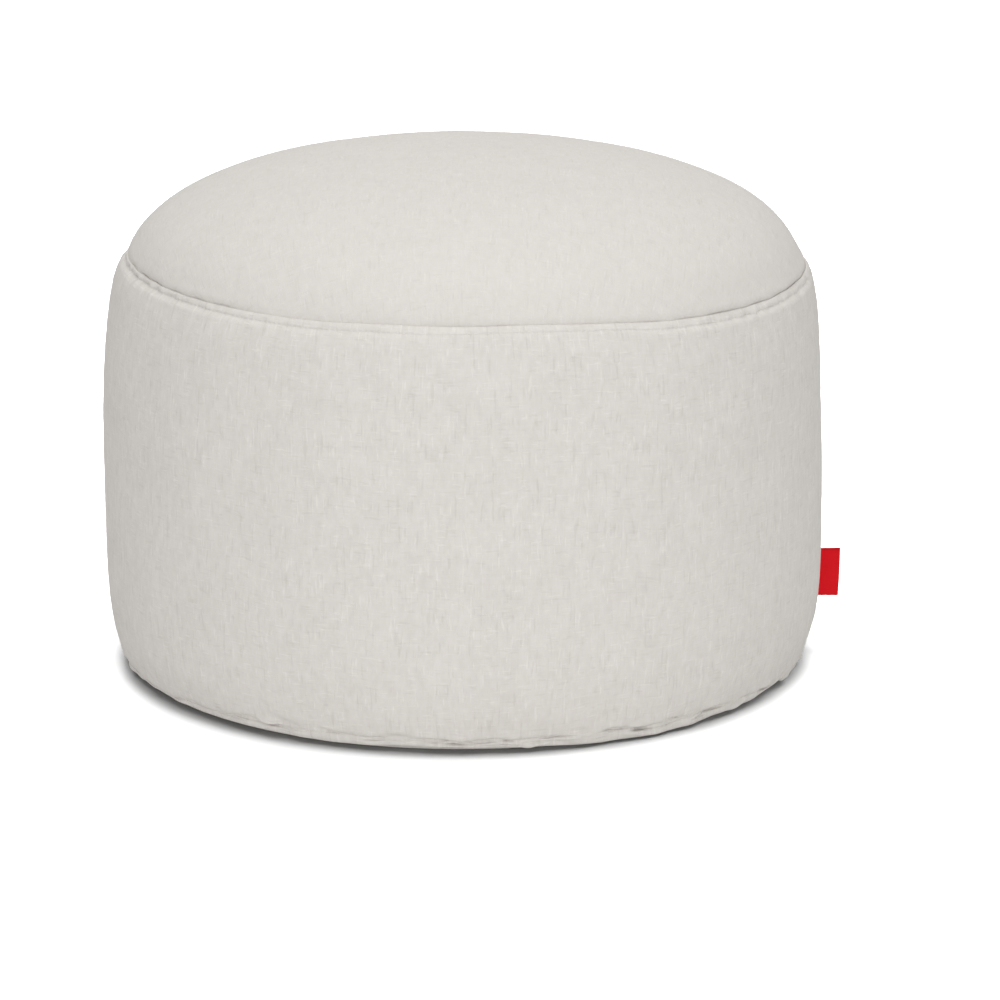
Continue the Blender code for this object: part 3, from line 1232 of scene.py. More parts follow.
    def surface(self, azimuth: Array) -> Arrays:
        """The band's face with all its relief.

        Args:
            azimuth: Azimuth of each column.

        Returns:
            Radii and heights of the rows and columns.
        """
        radius, height = self.section(azimuth)
        normal_r, normal_z = profile_normals(radius, height)
        below_seam = self.form.seam_height(azimuth) - height
        above_floor = height - self.base.stitch_height
        fade = smooth_step(below_seam, self.quiet_from, self.quiet_from + self.quiet)
        fade *= smooth_step(above_floor, 0.0, self.quiet)
        relief = sum(waves.at(turned(radius, azimuth, height)) for waves in self.unevenness) * fade
        relief += self.settled.at(self.filling.share_down_band(height, azimuth), azimuth)
        by_side = self.side_share + (1.0 - self.side_share) * fade
        relief += self.side.relief(self.along(azimuth)) * by_side
        for by_top, by_base in self.gathers:
            relief += by_top.at(azimuth, below_seam, self.form.belly_radius)
            relief += by_base.at(azimuth, height, self.form.belly_radius)
        relief += sum(swell.at(azimuth, height) for swell in self.swells)
        first, last = self.eased_rows
        row, edge = np.arange(len(radius)), self.stitch_rows(len(radius))[1] + self.lip_steps
        relief *= np.interp(row, [0, first, edge - last, edge], [0.0, 1.0, 1.0, 0.0])[:, None]
        return radius + relief * normal_r, height + relief * normal_z

    def down_to_rows(self) -> Array:
        """Length of the cloth from the top seam down to each row, on average around the stool.

        Returns:
            The length to each row.
        """
        azimuth = self.azimuths()
        radius, height = self.section(azimuth[:: len(azimuth) // self.measured])
        return length_to_rows(radius, height)

    def sewing_map(self, turn: Array, down: Array) -> Array:
        """Stitches along the nearest row of topstitching, and the distance from that row.

        Args:
            turn: Azimuth of each column, and of the first one after a full turn.
            down: Length of the cloth from the top seam to each row.

        Returns:
            Both, for each row and column.
        """
        upper, lower = (np.abs(down - down[row])[:, None] for row in self.stitch_rows(len(down)))
        nearest = np.minimum(upper, lower)
        stitches = np.where(upper < lower, self.top.stitches, self.base.stitches)
        by_side = np.abs(turn * self.form.belly_radius - self.side.stitch_at)
        beside, stop = self.side_stitches
        upright = (by_side < beside) & (nearest > stop)
        count = np.where(upright, down[:, None] / self.side.stitch_pitch, turn / math.tau * stitches)
        return paired(count, np.where(upright, by_side, nearest))

    def strip_maps(self, turn: Array, down: Array) -> Arrays:
        """The band cut into upright strips that lie in the unit square, two by two.

        Args:
            turn: Azimuth of each column, and of the first one after a full turn.
            down: Length of the cloth from the top seam to each row.

        Returns:
            Places of the faces' left corners, and of their right ones.
        """
        strip = np.minimum(turn[:-1] / math.tau * self.strips, self.strips - 1e-6).astype(int)
        (wide, tall), (step_x, step_y) = self.strip_size, self.strip_pitch
        up = (1.0 - down / down[-1])[:, None] * tall + step_y * (strip // 2)
        left, right = (
            paired((edge / math.tau * self.strips - strip) * wide + step_x * (strip % 2), up)
            for edge in (turn[:-1], turn[1:])
        )
        return left, right

    def build(self, canvas: Material) -> None:
        """Builds and dresses the band.

        Args:
            canvas: The canvas material.
        """
        azimuth = self.azimuths()
        radius, height = self.surface(azimuth)
        down = self.down_to_rows()
        turn = np.append(azimuth, math.tau)
        skin = Skin("side_band_cover")
        points = turned(radius, azimuth, height)
        cloth = paired(turn * self.form.belly_radius, (down[-1] - down)[:, None])
        maps = {
            CLOTH_MAP: with_full_turn(cloth),
            SEWING_MAP: with_full_turn(self.sewing_map(turn, down)),
            BAKE_MAP: self.strip_maps(turn, down),
        }
        last = skin.add_turned_grid(points, **maps)
        first = np.arange(len(azimuth))
        above, below = self.closed_map_middles
        for ring, row, level, faces_up, middle in (
            (first, 0, self.form.seam_mean - self.top.gap / 2, True, above),
            (last, -1, self.base.panel_thickness + self.base.gap, False, below),
        ):
            maps = {
                SEWING_MAP: (np.ones((len(azimuth), 2)), np.ones(2)),
                BAKE_MAP: (headings(azimuth) * self.closed_map_radius + middle, np.array(middle)),
            }
            skin.close(ring, points[row], level, faces_up, **maps)
        cover = skin.make()
        finish_piece(cover, "canvas", canvas, "side_band")


@dataclass
class BasePanel:
    """The base panel: a disc of canvas pressed flat on the floor, its rim lifted into the base seam."""

    seam: BaseSeam
    columns: int = 256
    rings: int = 24
    rim_turn: float = 0.35  # share of the rim's lift that is left halfway to the flat part

    def build(self, canvas: Material) -> None:
        """Builds and dresses the base panel.

        Args:
            canvas: The canvas material.
        """
        inner = np.linspace(0.0, 1.0, self.rings + 1)[1:]
        rim, flat, thick = self.seam.panel_radius, self.seam.panel_flat_radius, self.seam.panel_thickness
        lift = self.seam.panel_rim_lift
        radius = np.concatenate([rim * inner, [rim, (rim + flat) / 2], flat * inner[::-1]])
        rise = [lift, lift * self.rim_turn]
        height = np.concatenate([np.full(self.rings, thick), rise, np.zeros(self.rings)])
        azimuth = even_turn(self.columns)
        level = np.broadcast_to(height[:, None], (len(height), self.columns))
        points = turned(radius[:, None], azimuth, level)
        skin = Skin("base_panel_cover")
        flat_map = np.concatenate([points, points[:, :1]], axis=1)[..., :2]
        last = skin.add_turned_grid(points, **{CLOTH_MAP: with_full_turn(flat_map)})
        skin.close(np.arange(self.columns), points[0], thick, faces_up=True)
        skin.close(last, points[-1], 0.0, faces_up=False)
        cover = skin.make()
        finish_piece(cover, "canvas", canvas, "base_panel")


@dataclass
class SideTab:
    """The ribbon tab: one ribbon folded in two, its ends caught in the side seam's groove."""

    form: StoolForm
    bottom: float = 0.0373
    top: float = 0.0717
    reach: float = 0.0160
    flare: float = 0.0016  # how much further its bottom end reaches
    caught: float = 0.06  # share of the reach by which its ends go into the band
    root_half: float = 0.00065
    fold_half: float = 0.00105
    opening: Pair = (0.1, 0.85)  # shares of the reach between which the layers part
    thickness: float = 0.0005
    selvedge: float = 0.0011
    selvedge_rise: float = 0.00010
    selvedge_slope: float = 0.0004
    bow: float = 0.0009  # how far its fold swings to the back, halfway up
    rows: int = 44
    run_steps: int = 16
    fold_steps: int = 14

    def path(self) -> Arrays:
        """The folded ribbon's outer line seen from above: shares of the reach, and sideways offsets.

        Returns:
            Both, from the front end round the fold to the back end.
        """
        out = np.linspace(-self.caught, 1.0 - self.fold_half / self.reach, self.run_steps)
        widen = self.root_half + (self.fold_half - self.root_half) * smooth_step(out, *self.opening)
        turn = np.linspace(-math.pi / 2, math.pi / 2, self.fold_steps + 1)[1:-1]
        fold_x = 1.0 - self.fold_half / self.reach * (1.0 - np.cos(turn))
        fold_y = self.fold_half * np.sin(turn)
        return np.concatenate([out, fold_x, out[::-1]]), np.concatenate([-widen, fold_y, widen[::-1]])

    def layer(self, depth: float, up: Array) -> Array:
        """One face of the ribbon.

        Args:
            depth: How far under the outer face it lies.
            up: Share of the tab's height of each row, from 0 at the bottom.

        Returns:
            Points of the rows, and of the columns from the front end round the fold to the back end.
        """
        share, aside = self.path()
        along_x, along_y = np.gradient(share * self.reach), np.gradient(aside)
        size = np.hypot(along_x, along_y)
        height = self.bottom + (self.top - self.bottom) * up
        edge = np.minimum(up, 1.0 - up)[:, None] * (self.top - self.bottom)
        thick = self.selvedge_rise * smooth_step(self.selvedge - edge, 0.0, self.selvedge_slope)
        moved = depth - thick if depth == 0.0 else depth + thick / 2  # the inner side has less room
        inward_x, inward_y = -along_y / size, along_x / size
        face = self.form.wall_radius(height)[:, None]
        x = face + share * (self.reach + self.flare * (1.0 - up))[:, None] + inward_x * moved
        swing = self.bow * np.sin(math.pi * up)[:, None] * np.clip(share, 0.0, 1.0) ** 2
        y = aside + inward_y * moved + swing
        return np.stack([x, y, np.broadcast_to(height[:, None], x.shape)], axis=-1)

    def build(self, ribbon: Material) -> None:
        """Builds and dresses the tab.

        Args:
            ribbon: The ribbon material.
        """
        up = cosine_steps(self.rows)[::-1]
        outer, inner = self.layer(0.0, up), self.layer(self.thickness, up)
        # A ring around the ribbon's own section, for each row of its height.
        ring = np.concatenate([outer, inner[:, ::-1]], axis=1)
        along = reached(np.linalg.norm(np.diff(outer, axis=1), axis=2).mean(axis=0))
        across = np.concatenate([along, along[::-1], along[:1]])
        height = (up * (self.top - self.bottom))[:, None]
        skin = Skin("side_tab_ribbon")
        skin.add_turned_grid(ring, **{CLOTH_MAP: with_full_turn(paired(across, height))})
        count = outer.shape[1]
        near = np.arange(count - 1)
        for row, flip in ((0, False), (len(up) - 1, True)):
            start = row * 2 * count
            outside, inside = start + near, start + 2 * count - 1 - near
            faces = np.stack([outside, outside + 1, inside - 1, inside], axis=-1)
            corners = [along[near], along[near + 1], along[near + 1], along[near]]
            level = np.full(count - 1, height[row, 0])
            flat = np.stack([np.stack([corner, level], axis=-1) for corner in corners], axis=1)
            if flip:
                faces, flat = faces[:, ::-1], flat[:, ::-1]
            skin.add_faces(faces, **{CLOTH_MAP: flat})
        tab = skin.make(sharp_deg=50.0)
        finish_piece(tab, "ribbon", ribbon, "side_tab")


# ---- Topstitching ----
class SeamPlace(Enum):
    """Where a row of topstitching runs."""

    TOP = "top_topstitching"
    BASE = "base_topstitching"
    SIDE = "side_topstitching"


@dataclass
class Topstitching:
    """A row of stitches in thick thread, each one drawn into the cloth at its ends."""

    band: SideBand
    place: SeamPlace
    thread: float = 0.00048  # thickness
    fill: float = 0.80  # share of the pitch that a stitch covers
    sink: float = 0.00020  # how far a stitch's middle lies in the cloth
    plunge: float = 1.15  # thicknesses by which its ends go down into the cloth
    plunge_late: float = 3.0  # the higher, the nearer to its ends
    thinning: float = 0.35  # share of the thickness that is drawn away at the ends
    flatness: float = 0.85  # height of the thread's section for its width
    lengths: Pair = (0.94, 1.05)  # shortest and longest, of the usual length
    tilt: float = 0.035  # usual sideways lean, for each metre along
    sides: int = 8
    rings: int = 9
    seed: int = 23

    def around(self) -> tuple[Array, Array, Array, float]:
        """Middles, running directions, outward directions and pitch of a row around the stool.

        Returns:
            Three vectors for each stitch, and the distance from one stitch to the next.
        """
        top = self.place is SeamPlace.TOP
        count = self.band.top.stitches if top else self.band.base.stitches
        azimuth = (np.arange(count) + 0.5) / count * math.tau
        radius, height = self.band.surface(azimuth)
        row = self.band.stitch_rows(len(radius))[0 if top else 1]
        normal_r, normal_z = profile_normals(radius[row - 2 : row + 3], height[row - 2 : row + 3])
        middle = turned(radius[row], azimuth, height[row])
        out = turned(normal_r.mean(axis=0), azimuth, normal_z.mean(axis=0))
        ahead = np.roll(middle, -1, axis=0) - np.roll(middle, 1, axis=0)
        pitch = float(np.linalg.norm(ahead, axis=1).mean() / 2)
        return middle, ahead, out, pitch

    def upright(self) -> tuple[Array, Array, Array, float]:
        """Middles, running directions, outward directions and pitch of the side seam's row.

        Returns:
            Three vectors for each stitch, and the distance from one stitch to the next.
        """
        azimuth = np.array([self.band.side.stitch_at / self.band.form.belly_radius])
        radius, height = self.band.surface(azimuth)
        upper, lower = self.band.stitch_rows(len(radius))
        rows = slice(upper + 3, lower - 2)  # clear of the other stitches
        r, z, down = radius[rows, 0], height[rows, 0], self.band.down_to_rows()[rows]
        pitch = self.band.side.stitch_pitch
        at = (np.arange(math.ceil(down[0] / pitch), math.floor(down[-1] / pitch)) + 0.5) * pitch
        middle_r, middle_z = np.interp(at, down, r), np.interp(at, down, z)
        slope_r = np.interp(at, down, np.gradient(r, down))
        slope_z = np.interp(at, down, np.gradient(z, down))
        turn = np.full(len(at), azimuth[0])
        middle = turned(middle_r, turn, middle_z)
        return middle, turned(slope_r, turn, slope_z), turned(-slope_z, turn, slope_r), pitch

    def run(self) -> Array:
        """Where each ring of a stitch is, from -0.5 at its start to 0.5 at its end."""
        return np.linspace(-0.5, 0.5, self.rings)

    def stitch_points(self, middle: Array, ahead: Array, out: Array, pitch: float) -> Array:
        """Points of the rings around every stitch's thread.

        Args:
            middle: The stitches' middles.
            ahead: The way that the row runs at each.
            out: The way out of the cloth at each.
            pitch: Distance from one stitch to the next.

        Returns:
            Points for each stitch, ring and side.
        """
        rng = np.random.default_rng(self.seed)
        count = len(middle)
        out = out / np.linalg.norm(out, axis=1, keepdims=True)
        ahead = ahead - out * np.sum(ahead * out, axis=1, keepdims=True)
        ahead /= np.linalg.norm(ahead, axis=1, keepdims=True)
        beside = np.cross(out, ahead)
        tilt = rng.normal(0.0, self.tilt, count)[:, None]
        ahead, beside = ahead + beside * tilt, beside - ahead * tilt
        length = pitch * self.fill * rng.uniform(*self.lengths, count)[:, None, None]
        # The thread is round in the middle and dives into the cloth at both ends.
        dive = np.abs(2.0 * self.run()) ** self.plunge_late
        half = self.thread / 2 * (1.0 - self.thinning * dive)
        lift = self.thread / 2 - self.sink - self.thread * self.plunge * dive
        turn = even_turn(self.sides)
        upward = lift[:, None] + half[:, None] * np.sin(turn) * self.flatness
        aside = half[:, None] * np.cos(turn)
        onward = (self.run()[None, :, None] * length)[..., None]
        points = middle[:, None, None] + ahead[:, None, None] * onward
        points = points + out[:, None, None] * upward[None, ..., None]
        return points + beside[:, None, None] * aside[None, ..., None]

    def add_stitches(self, skin: Skin, count: int, pitch: float) -> None:
        """Adds the faces around every stitch and at its two ends.

        Args:
            skin: The mesh, with the stitches' points.
            count: How many stitches there are.
            pitch: Distance from one stitch to the next.
        """
        ring, side = np.meshgrid(np.arange(self.rings - 1), np.arange(self.sides), indexing="ij")
        corners = [(ring, side), (ring, side + 1), (ring + 1, side + 1), (ring + 1, side)]
        one = np.stack([r * self.sides + s % self.sides for r, s in corners], axis=-1)
        start = (np.arange(count) * self.rings * self.sides)[:, None, None]
        faces = (start + one.reshape(1, -1, 4)).reshape(-1, 4)
        along = self.run() * pitch * self.fill
        around = np.arange(self.sides + 1) / self.sides * math.pi * self.thread
        flat = np.stack([np.stack([along[r], around[s]], axis=-1) for r, s in corners], axis=2)
        flat = np.tile(flat.reshape(-1, 4, 2), (count, 1, 1))
        flat[..., 0] += np.repeat(np.arange(count) * pitch, len(flat) // count)[:, None]
        skin.add_faces(faces, **{CLOTH_MAP: flat})
        for first, flip in ((0, True), (self.rings - 1, False)):
            caps = start[:, 0] + first * self.sides + np.arange(self.sides)
            spot = np.zeros((count, self.sides, 2))
            skin.add_faces(caps[:, ::-1] if flip else caps, **{CLOTH_MAP: spot})

    def build(self, thread: Material) -> None:
        """Builds and dresses the row.

        Args:
            thread: The thread material.
        """
        upright = self.place is SeamPlace.SIDE
        middle, ahead, out, pitch = self.upright() if upright else self.around()
        skin = Skin(self.place.value)
        skin.add_points(self.stitch_points(middle, ahead, out, pitch))
        self.add_stitches(skin, len(middle), pitch)
        finish_piece(skin.make(), "canvas", thread)


# ---- Finishes ----
def one_step(operation: str, flipped: bool = False) -> Callable[..., Signal]:
    """A method that adds one step of arithmetic to a signal.

    Args:
        operation: The step's name in the shader editor.
        flipped: True where the signal comes after the other value.

    Returns:
        The method, which takes the other value if there is one.
    """

    def method(signal: Signal, *others: Signal | float) -> Signal:
        """Adds the step."""
        return signal.desk.math(operation, *((*others, signal) if flipped else (signal, *others)))

    return method


@dataclass(frozen=True)
class Signal:
    """A number that varies over a surface, with ordinary arithmetic."""

    desk: FinishDesk
    socket: Socket

    __add__ = one_step("ADD")
    __sub__ = one_step("SUBTRACT")
    __rsub__ = one_step("SUBTRACT", flipped=True)
    __mul__ = one_step("MULTIPLY")
    __truediv__ = one_step("DIVIDE")
    whole = one_step("FLOOR")
    size = one_step("ABSOLUTE")
    sine = one_step("SINE")

    def hump(self, width: float) -> Signal:
        """A soft hump around 0: 1 there, and next to nothing at twice the width."""
        return self.desk.math("EXPONENT", (self / width) * (self / width) * -1.0)

    def ramp(self, start: float, end: float) -> Signal:
        """0 before start, 1 after end, and a soft slope between. Start may be the larger.

        Args:
            start: Where the slope starts.
            end: Where it ends.

        Returns:
            The slope's signal.
        """
        node = self.desk.node("ShaderNodeMapRange", interpolation_type="SMOOTHSTEP")
        self.desk.plug(node.inputs["Value"], self)
        node.inputs["From Min"].default_value = start
        node.inputs["From Max"].default_value = end
        return Signal(self.desk, node.outputs["Result"])


@dataclass
class FinishDesk:
    """The shader editor of one material, with the nodes that the finishes share."""

    name: str
    material: Material = field(init=False)

    def __post_init__(self) -> None:
        """Starts a material with a plain surface shader."""
        self.material = bpy.data.materials.new(self.name)
        self.material.use_nodes = True

    @property
    def shader(self) -> bpy.types.Node:
        """The material's surface shader."""
        return self.material.node_tree.nodes["Principled BSDF"]

    def node(self, kind: str, **settings: object) -> bpy.types.Node:
        """Adds a node and sets its options.

        Args:
            kind: The node's kind.
            settings: Its options by name.

        Returns:
            The node.
        """
        node = self.material.node_tree.nodes.new(kind)
        for name, value in settings.items():
            setattr(node, name, value)
        return node

    def link(self, source: Socket, socket: Socket) -> None:
        """Links an output to an input."""
        self.material.node_tree.links.new(source, socket)

    def plug(self, socket: Socket, value: Signal | float) -> None:
        """Links a signal to a socket, or sets the socket to a constant.

        Args:
            socket: The socket.
            value: The signal or the constant.
        """
        if isinstance(value, Signal):
            self.link(value.socket, socket)
        else:
            socket.default_value = value

    def math(self, operation: str, *values: Signal | float) -> Signal:
        """One step of arithmetic on signals and constants.

        Args:
            operation: The step's name in the shader editor.
            values: What it works on.

        Returns:
            The result.
        """
        node = self.node("ShaderNodeMath", operation=operation)
        for socket, value in zip(node.inputs, values):
            self.plug(socket, value)
        return Signal(self, node.outputs[0])

    def flat_map(self, name: str) -> tuple[Signal, Signal]:
        """The two lengths of a flat map of the cloth.

        Args:
            name: The flat map.

        Returns:
            Its first and its second length.
        """
        parts = self.node("ShaderNodeSeparateXYZ")
        place = self.node("ShaderNodeUVMap", uv_map=name).outputs["UV"]
        self.link(place, parts.inputs[0])
        return Signal(self, parts.outputs["X"]), Signal(self, parts.outputs["Y"])

    def noise(self, x: Signal, y: Signal, seed: float, detail: float = 1.0) -> Signal:
        """Soft random values over two signals, one patch for each unit of them.

        Args:
            x: The first signal.
            y: The second signal.
            seed: Another number gives another pattern.
            detail: How many finer patterns are laid over it.

        Returns:
            Values from 0 to 1, mostly near a half.
        """
        place = self.node("ShaderNodeCombineXYZ")
        for socket, value in zip(place.inputs, (x, y, seed)):
            self.plug(socket, value)
        noise = self.node("ShaderNodeTexNoise")
        noise.inputs["Scale"].default_value = 1.0
        noise.inputs["Detail"].default_value = detail
        self.link(place.outputs[0], noise.inputs["Vector"])
        return Signal(self, noise.outputs[0])

    def paint(self, share: Signal, first: Colour, second: Colour) -> None:
        """Paints the surface between two colours.

        Args:
            share: Share of the second colour.
            first: The colour at a share of 0.
            second: The colour at a share of 1.
        """
        mix = self.node("ShaderNodeMix", data_type="RGBA")
        self.plug(mix.inputs["Factor"], share)
        mix.inputs["A"].default_value = (*first, 1.0)
        mix.inputs["B"].default_value = (*second, 1.0)
        self.link(mix.outputs["Result"], self.shader.inputs["Base Color"])

    def emboss(self, height: Signal) -> None:
        """Gives the surface a relief, in metres.

        Args:
            height: How far each place stands out.
        """
        bump = self.node("ShaderNodeBump")
        bump.inputs["Distance"].default_value = 1.0
        self.plug(bump.inputs["Height"], height)
        self.link(bump.outputs["Normal"], self.shader.inputs["Normal"])

    def surface(self, **settings: float) -> Material:
        """Sets the shader's constants and hands over the material.

        Args:
            settings: Constants by socket, with _ for a space.

        Returns:
            The material.
        """
        for name, value in settings.items():
            self.shader.inputs[name.replace("_", " ")].default_value = value
        return self.material


@dataclass(frozen=True)
class Streak:
    """Scattered lengths of yarn that are paler or darker than the cloth around them."""

    warpwise: bool
    width: float
    length: float
    sparse: float  # the higher, the fewer
    tone: float
    seed: float
    softness: float = 0.12

    def on(self, desk: FinishDesk, u: Signal, v: Signal) -> Signal:
        """The streaks' tone.

        Args:
            desk: The material's shader editor.
            u: Length along the weft.
            v: Length along the warp.

        Returns:
            The tone, 0 between the streaks.
        """
        across, along = (u, v) if self.warpwise else (v, u)
        value = desk.noise(across / self.width, along / self.length, self.seed)
        return value.ramp(self.sparse, self.sparse + self.softness) * self.tone


@dataclass(frozen=True)
class Patches:
    """Soft patches that are paler or darker than the cloth around them."""

    width: float
    length: float
    seed: float
    detail: float = 1.0

    def on(self, desk: FinishDesk, u: Signal, v: Signal) -> Signal:
        """The patches' values over two lengths, about 0."""
        return desk.noise(u / self.width, v / self.length, self.seed, self.detail) - 0.5


@dataclass(frozen=True)
class CanvasFinish:
    """Off-white linen-look canvas: a plain weave of uneven melange yarns with slubs."""

    name: str
    sewn: bool = False  # True where the cloth has rows of stitches in it
    contrast: float = 0.84
    dark: Colour = (0.424, 0.393, 0.358)
    light: Colour = (0.807, 0.782, 0.747)
    middle: float = 0.62
    yarn: float = 0.0008
    yarn_shade: Pair = (5.31, 0.026)  # noise to the next yarn, and metres of one shade
    cloud: Patches = Patches(0.035, 0.035, 4.1, 2.0)
    blotch: Patches = Patches(0.0042, 0.0085, 2.4)
    fleck: Patches = Patches(0.0019, 0.0032, 6.6, 2.0)
    shade_tone: float = 0.14
    fleck_tone: float = 0.12
    # painted shade: the weave tone is paler on the raised yarn crowns and darker where the yarns dip
    weave_painted_shade: float = 0.08
    weave_middle: float = 0.55
    blotch_tone: float = 0.26
    cloud_tone: float = 0.12
    # painted shade: how much darker the cloth is painted in the dimples at the stitch holes
    hole_painted_shade: float = 0.05
    hole_width: float = 0.0006
    dimple_width: float = 0.0013
    weave_depth: float = 0.00010
    slub_depth: float = 0.00040  # for a tone of 1
    dent_depth: float = 0.00025
    dimple_depth: float = 0.00010
    streaks: tuple[Streak, ...] = (
        Streak(True, 0.0017, 0.011, 0.61, 0.13, 1.3),
        Streak(True, 0.0024, 0.018, 0.60, -0.12, 2.9),
        Streak(False, 0.0016, 0.010, 0.62, 0.13, 8.9),
        Streak(False, 0.0020, 0.012, 0.62, -0.10, 5.2),
    )

    def material(self) -> Material:
        """Makes the material.

        Returns:
            The material.
        """
        desk = FinishDesk(self.name)
        u, v = desk.flat_map(CLOTH_MAP)
        warp, weft = u / self.yarn, v / self.yarn
        across_warp, across_weft = (warp * math.pi).sine(), (weft * math.pi).sine()
        over = across_warp * across_weft * 0.5 + 0.5  # 1 where the warp lies on top
        weave = across_warp.size() * over + across_weft.size() * (1.0 - over)
        slubs = self.streaks[0].on(desk, u, v)
        for streak in self.streaks[1:]:
            slubs = slubs + streak.on(desk, u, v)
        step, length = self.yarn_shade
        warp_shade = desk.noise(warp.whole() * step, v / length, 5.0, detail=0.0)
        weft_shade = desk.noise(weft.whole() * step, u / length, 12.6, detail=0.0)
        shade = (warp_shade - 0.5) * over + (weft_shade - 0.5) * (1.0 - over)
        blotch = self.blotch.on(desk, u, v)
        tone = slubs + shade * self.shade_tone + self.fleck.on(desk, u, v) * self.fleck_tone
        # The weave term is painted shade: it follows the yarns' relief and is darker in the hollows between
        # them.
        tone = tone + (weave - self.weave_middle) * self.weave_painted_shade + blotch * self.blotch_tone
        tone = (tone + self.cloud.on(desk, u, v) * self.cloud_tone) * self.contrast
        height = weave * self.weave_depth + slubs * self.slub_depth + blotch * self.dent_depth
        if self.sewn:
            stitch, beside = desk.flat_map(SEWING_MAP)
            hole = (stitch * math.tau + math.pi / 2).sine() * 0.5 + 0.5  # 1 between two stitches
            height = height - hole * beside.hump(self.dimple_width) * self.dimple_depth
            # Painted shade: the tone is darkened in the dimples where the stitches go into the cloth.
            tone = tone - hole * beside.hump(self.hole_width) * self.hole_painted_shade
        desk.paint(tone + self.middle, self.dark, self.light)
        desk.emboss(height)
        return desk.surface(Roughness=0.9, Specular_IOR_Level=0.2, Sheen_Weight=0.03, Sheen_Roughness=0.5)


@dataclass(frozen=True)
class ThreadFinish:
    """Thick off-white sewing thread with a visible twist."""

    name: str = "topstitch_thread"
    dark: Colour = (0.56, 0.535, 0.50)
    light: Colour = (0.74, 0.72, 0.685)
    twist: float = 0.0011
    girth: float = 0.00195
    plies: float = 2.0
    # painted shade: the tone is darker in the grooves between the plies, as their relief is
    ply_painted_shade: float = 0.35
    ply_depth: float = 0.00005
    fibre: Pair = (0.0016, 0.0003)  # along the thread and around it
    fibre_tone: float = 0.5
    fibre_depth: float = 0.00002
    least_tone: float = 0.15

    def material(self) -> Material:
        """Makes the material.

        Returns:
            The material.
        """
        desk = FinishDesk(self.name)
        along, around = desk.flat_map(CLOTH_MAP)
        turns = along / self.twist + around / self.girth * self.plies
        ply = (turns * math.tau).sine() * 0.5 + 0.5
        length, width = self.fibre
        fibre = desk.noise(along / length, around / width, 2.2, detail=2.0)
        # The ply term is painted shade, darker in the grooves of the twist.
        tone = ply * self.ply_painted_shade + fibre * self.fibre_tone + self.least_tone
        desk.paint(tone, self.dark, self.light)
        desk.emboss(ply * self.ply_depth + fibre * self.fibre_depth)
        return desk.surface(Roughness=0.72, Specular_IOR_Level=0.3, Sheen_Weight=0.2)


@dataclass(frozen=True)
class RibbonFinish:
    """Plain red woven ribbon with fine ribs, firmer edges and a slight satin sheen."""

    name: str = "red_ribbon"
    width: float = 0.034
    rib: float = 0.00055
    yarn: float = 0.00028  # of the warp
    yarn_shade: Pair = (2.3, 0.006)  # noise to the next yarn, and metres of one shade
    cloud: Patches = Patches(0.009, 0.009, 5.5, 2.0)
    selvedge: float = 0.0011
    selvedge_inner: float = 0.7  # share of the selvedge that is whole
    middle: float = 0.55
    # painted shade: the ribs and warp yarns are painted darker in their hollows, following their relief
    rib_painted_shade: float = 0.16
    warp_painted_shade: float = 0.06
    yarn_tone: float = 0.5
    cloud_tone: float = 0.3
    # painted shade: the ribbon is painted darker along its two long edges
    edge_painted_shade: float = 0.35
    rib_depth: float = 0.00004
    warp_depth: float = 0.00001
    edge_depth: float = 0.00004
    dark: Colour = (0.52, 0.003, 0.008)
    light: Colour = (0.79, 0.008, 0.016)

    def material(self) -> Material:
        """Makes the material.

        Returns:
            The material.
        """
        desk = FinishDesk(self.name)
        along, across = desk.flat_map(CLOTH_MAP)
        rib = (along / self.rib * math.tau).sine() * 0.5 + 0.5
        warp = (across / self.yarn * math.tau).sine() * 0.5 + 0.5
        from_edge = self.width / 2 - (across - self.width / 2).size()
        edge = from_edge.ramp(self.selvedge, self.selvedge * self.selvedge_inner)
        step, length = self.yarn_shade
        yarn = desk.noise((across / self.yarn).whole() * step, along / length, 3.1)
        # The rib and warp terms are painted shade, darker in the hollows of the ribbon's relief.
        tone = rib * self.rib_painted_shade + warp * self.warp_painted_shade + (yarn - 0.5) * self.yarn_tone
        tone = tone + self.cloud.on(desk, along, across) * self.cloud_tone
        # Painted shade: the tone is darkened along the ribbon's two long edges.
        desk.paint(tone - edge * self.edge_painted_shade + self.middle, self.dark, self.light)
        desk.emboss(rib * self.rib_depth + warp * self.warp_depth + edge * self.edge_depth)
        return desk.surface(Roughness=0.5, Specular_IOR_Level=0.08, Sheen_Weight=0.02, Sheen_Roughness=0.35)


# ---- Studio ----
@dataclass(frozen=True)
class SoftBox:
    """A square soft light turned to one place."""

    name: str
    place: tuple[float, float, float]
    side: float
    power: float
    look_at: tuple[float, float, float] = (0.0, 0.0, 0.15)

    def build(self) -> None:
        """Hangs the light."""
        lamp = bpy.data.lights.new(self.name, "AREA")
        lamp.shape, lamp.size, lamp.energy = "SQUARE", self.side, self.power
        box = put(self.name, lamp)
        box.location = self.place
        turn = Vector(self.look_at) - Vector(self.place)
        box.rotation_euler = turn.to_track_quat("-Z", "Y").to_euler()


@dataclass(frozen=True)
class FloorLight:
    """A distant light that falls on the floor alone, and so draws the stool's shadow."""

    name: str
    strength: float
    breadth_deg: float  # how wide it looks from the floor
    from_behind_deg: float = 0.0
    from_right_deg: float = 0.0

    def build(self, receivers: bpy.types.Collection) -> None:
        """Hangs the light for the given pieces only.

        Args:
            receivers: The pieces that it falls on.
        """
        lamp = bpy.data.lights.new(self.name, "SUN")
        lamp.energy, lamp.angle = self.strength, math.radians(self.breadth_deg)
        light = put(self.name, lamp)
        light.rotation_euler = math.radians(-self.from_behind_deg), math.radians(self.from_right_deg), 0.0
        light.light_linking.receiver_collection = receivers


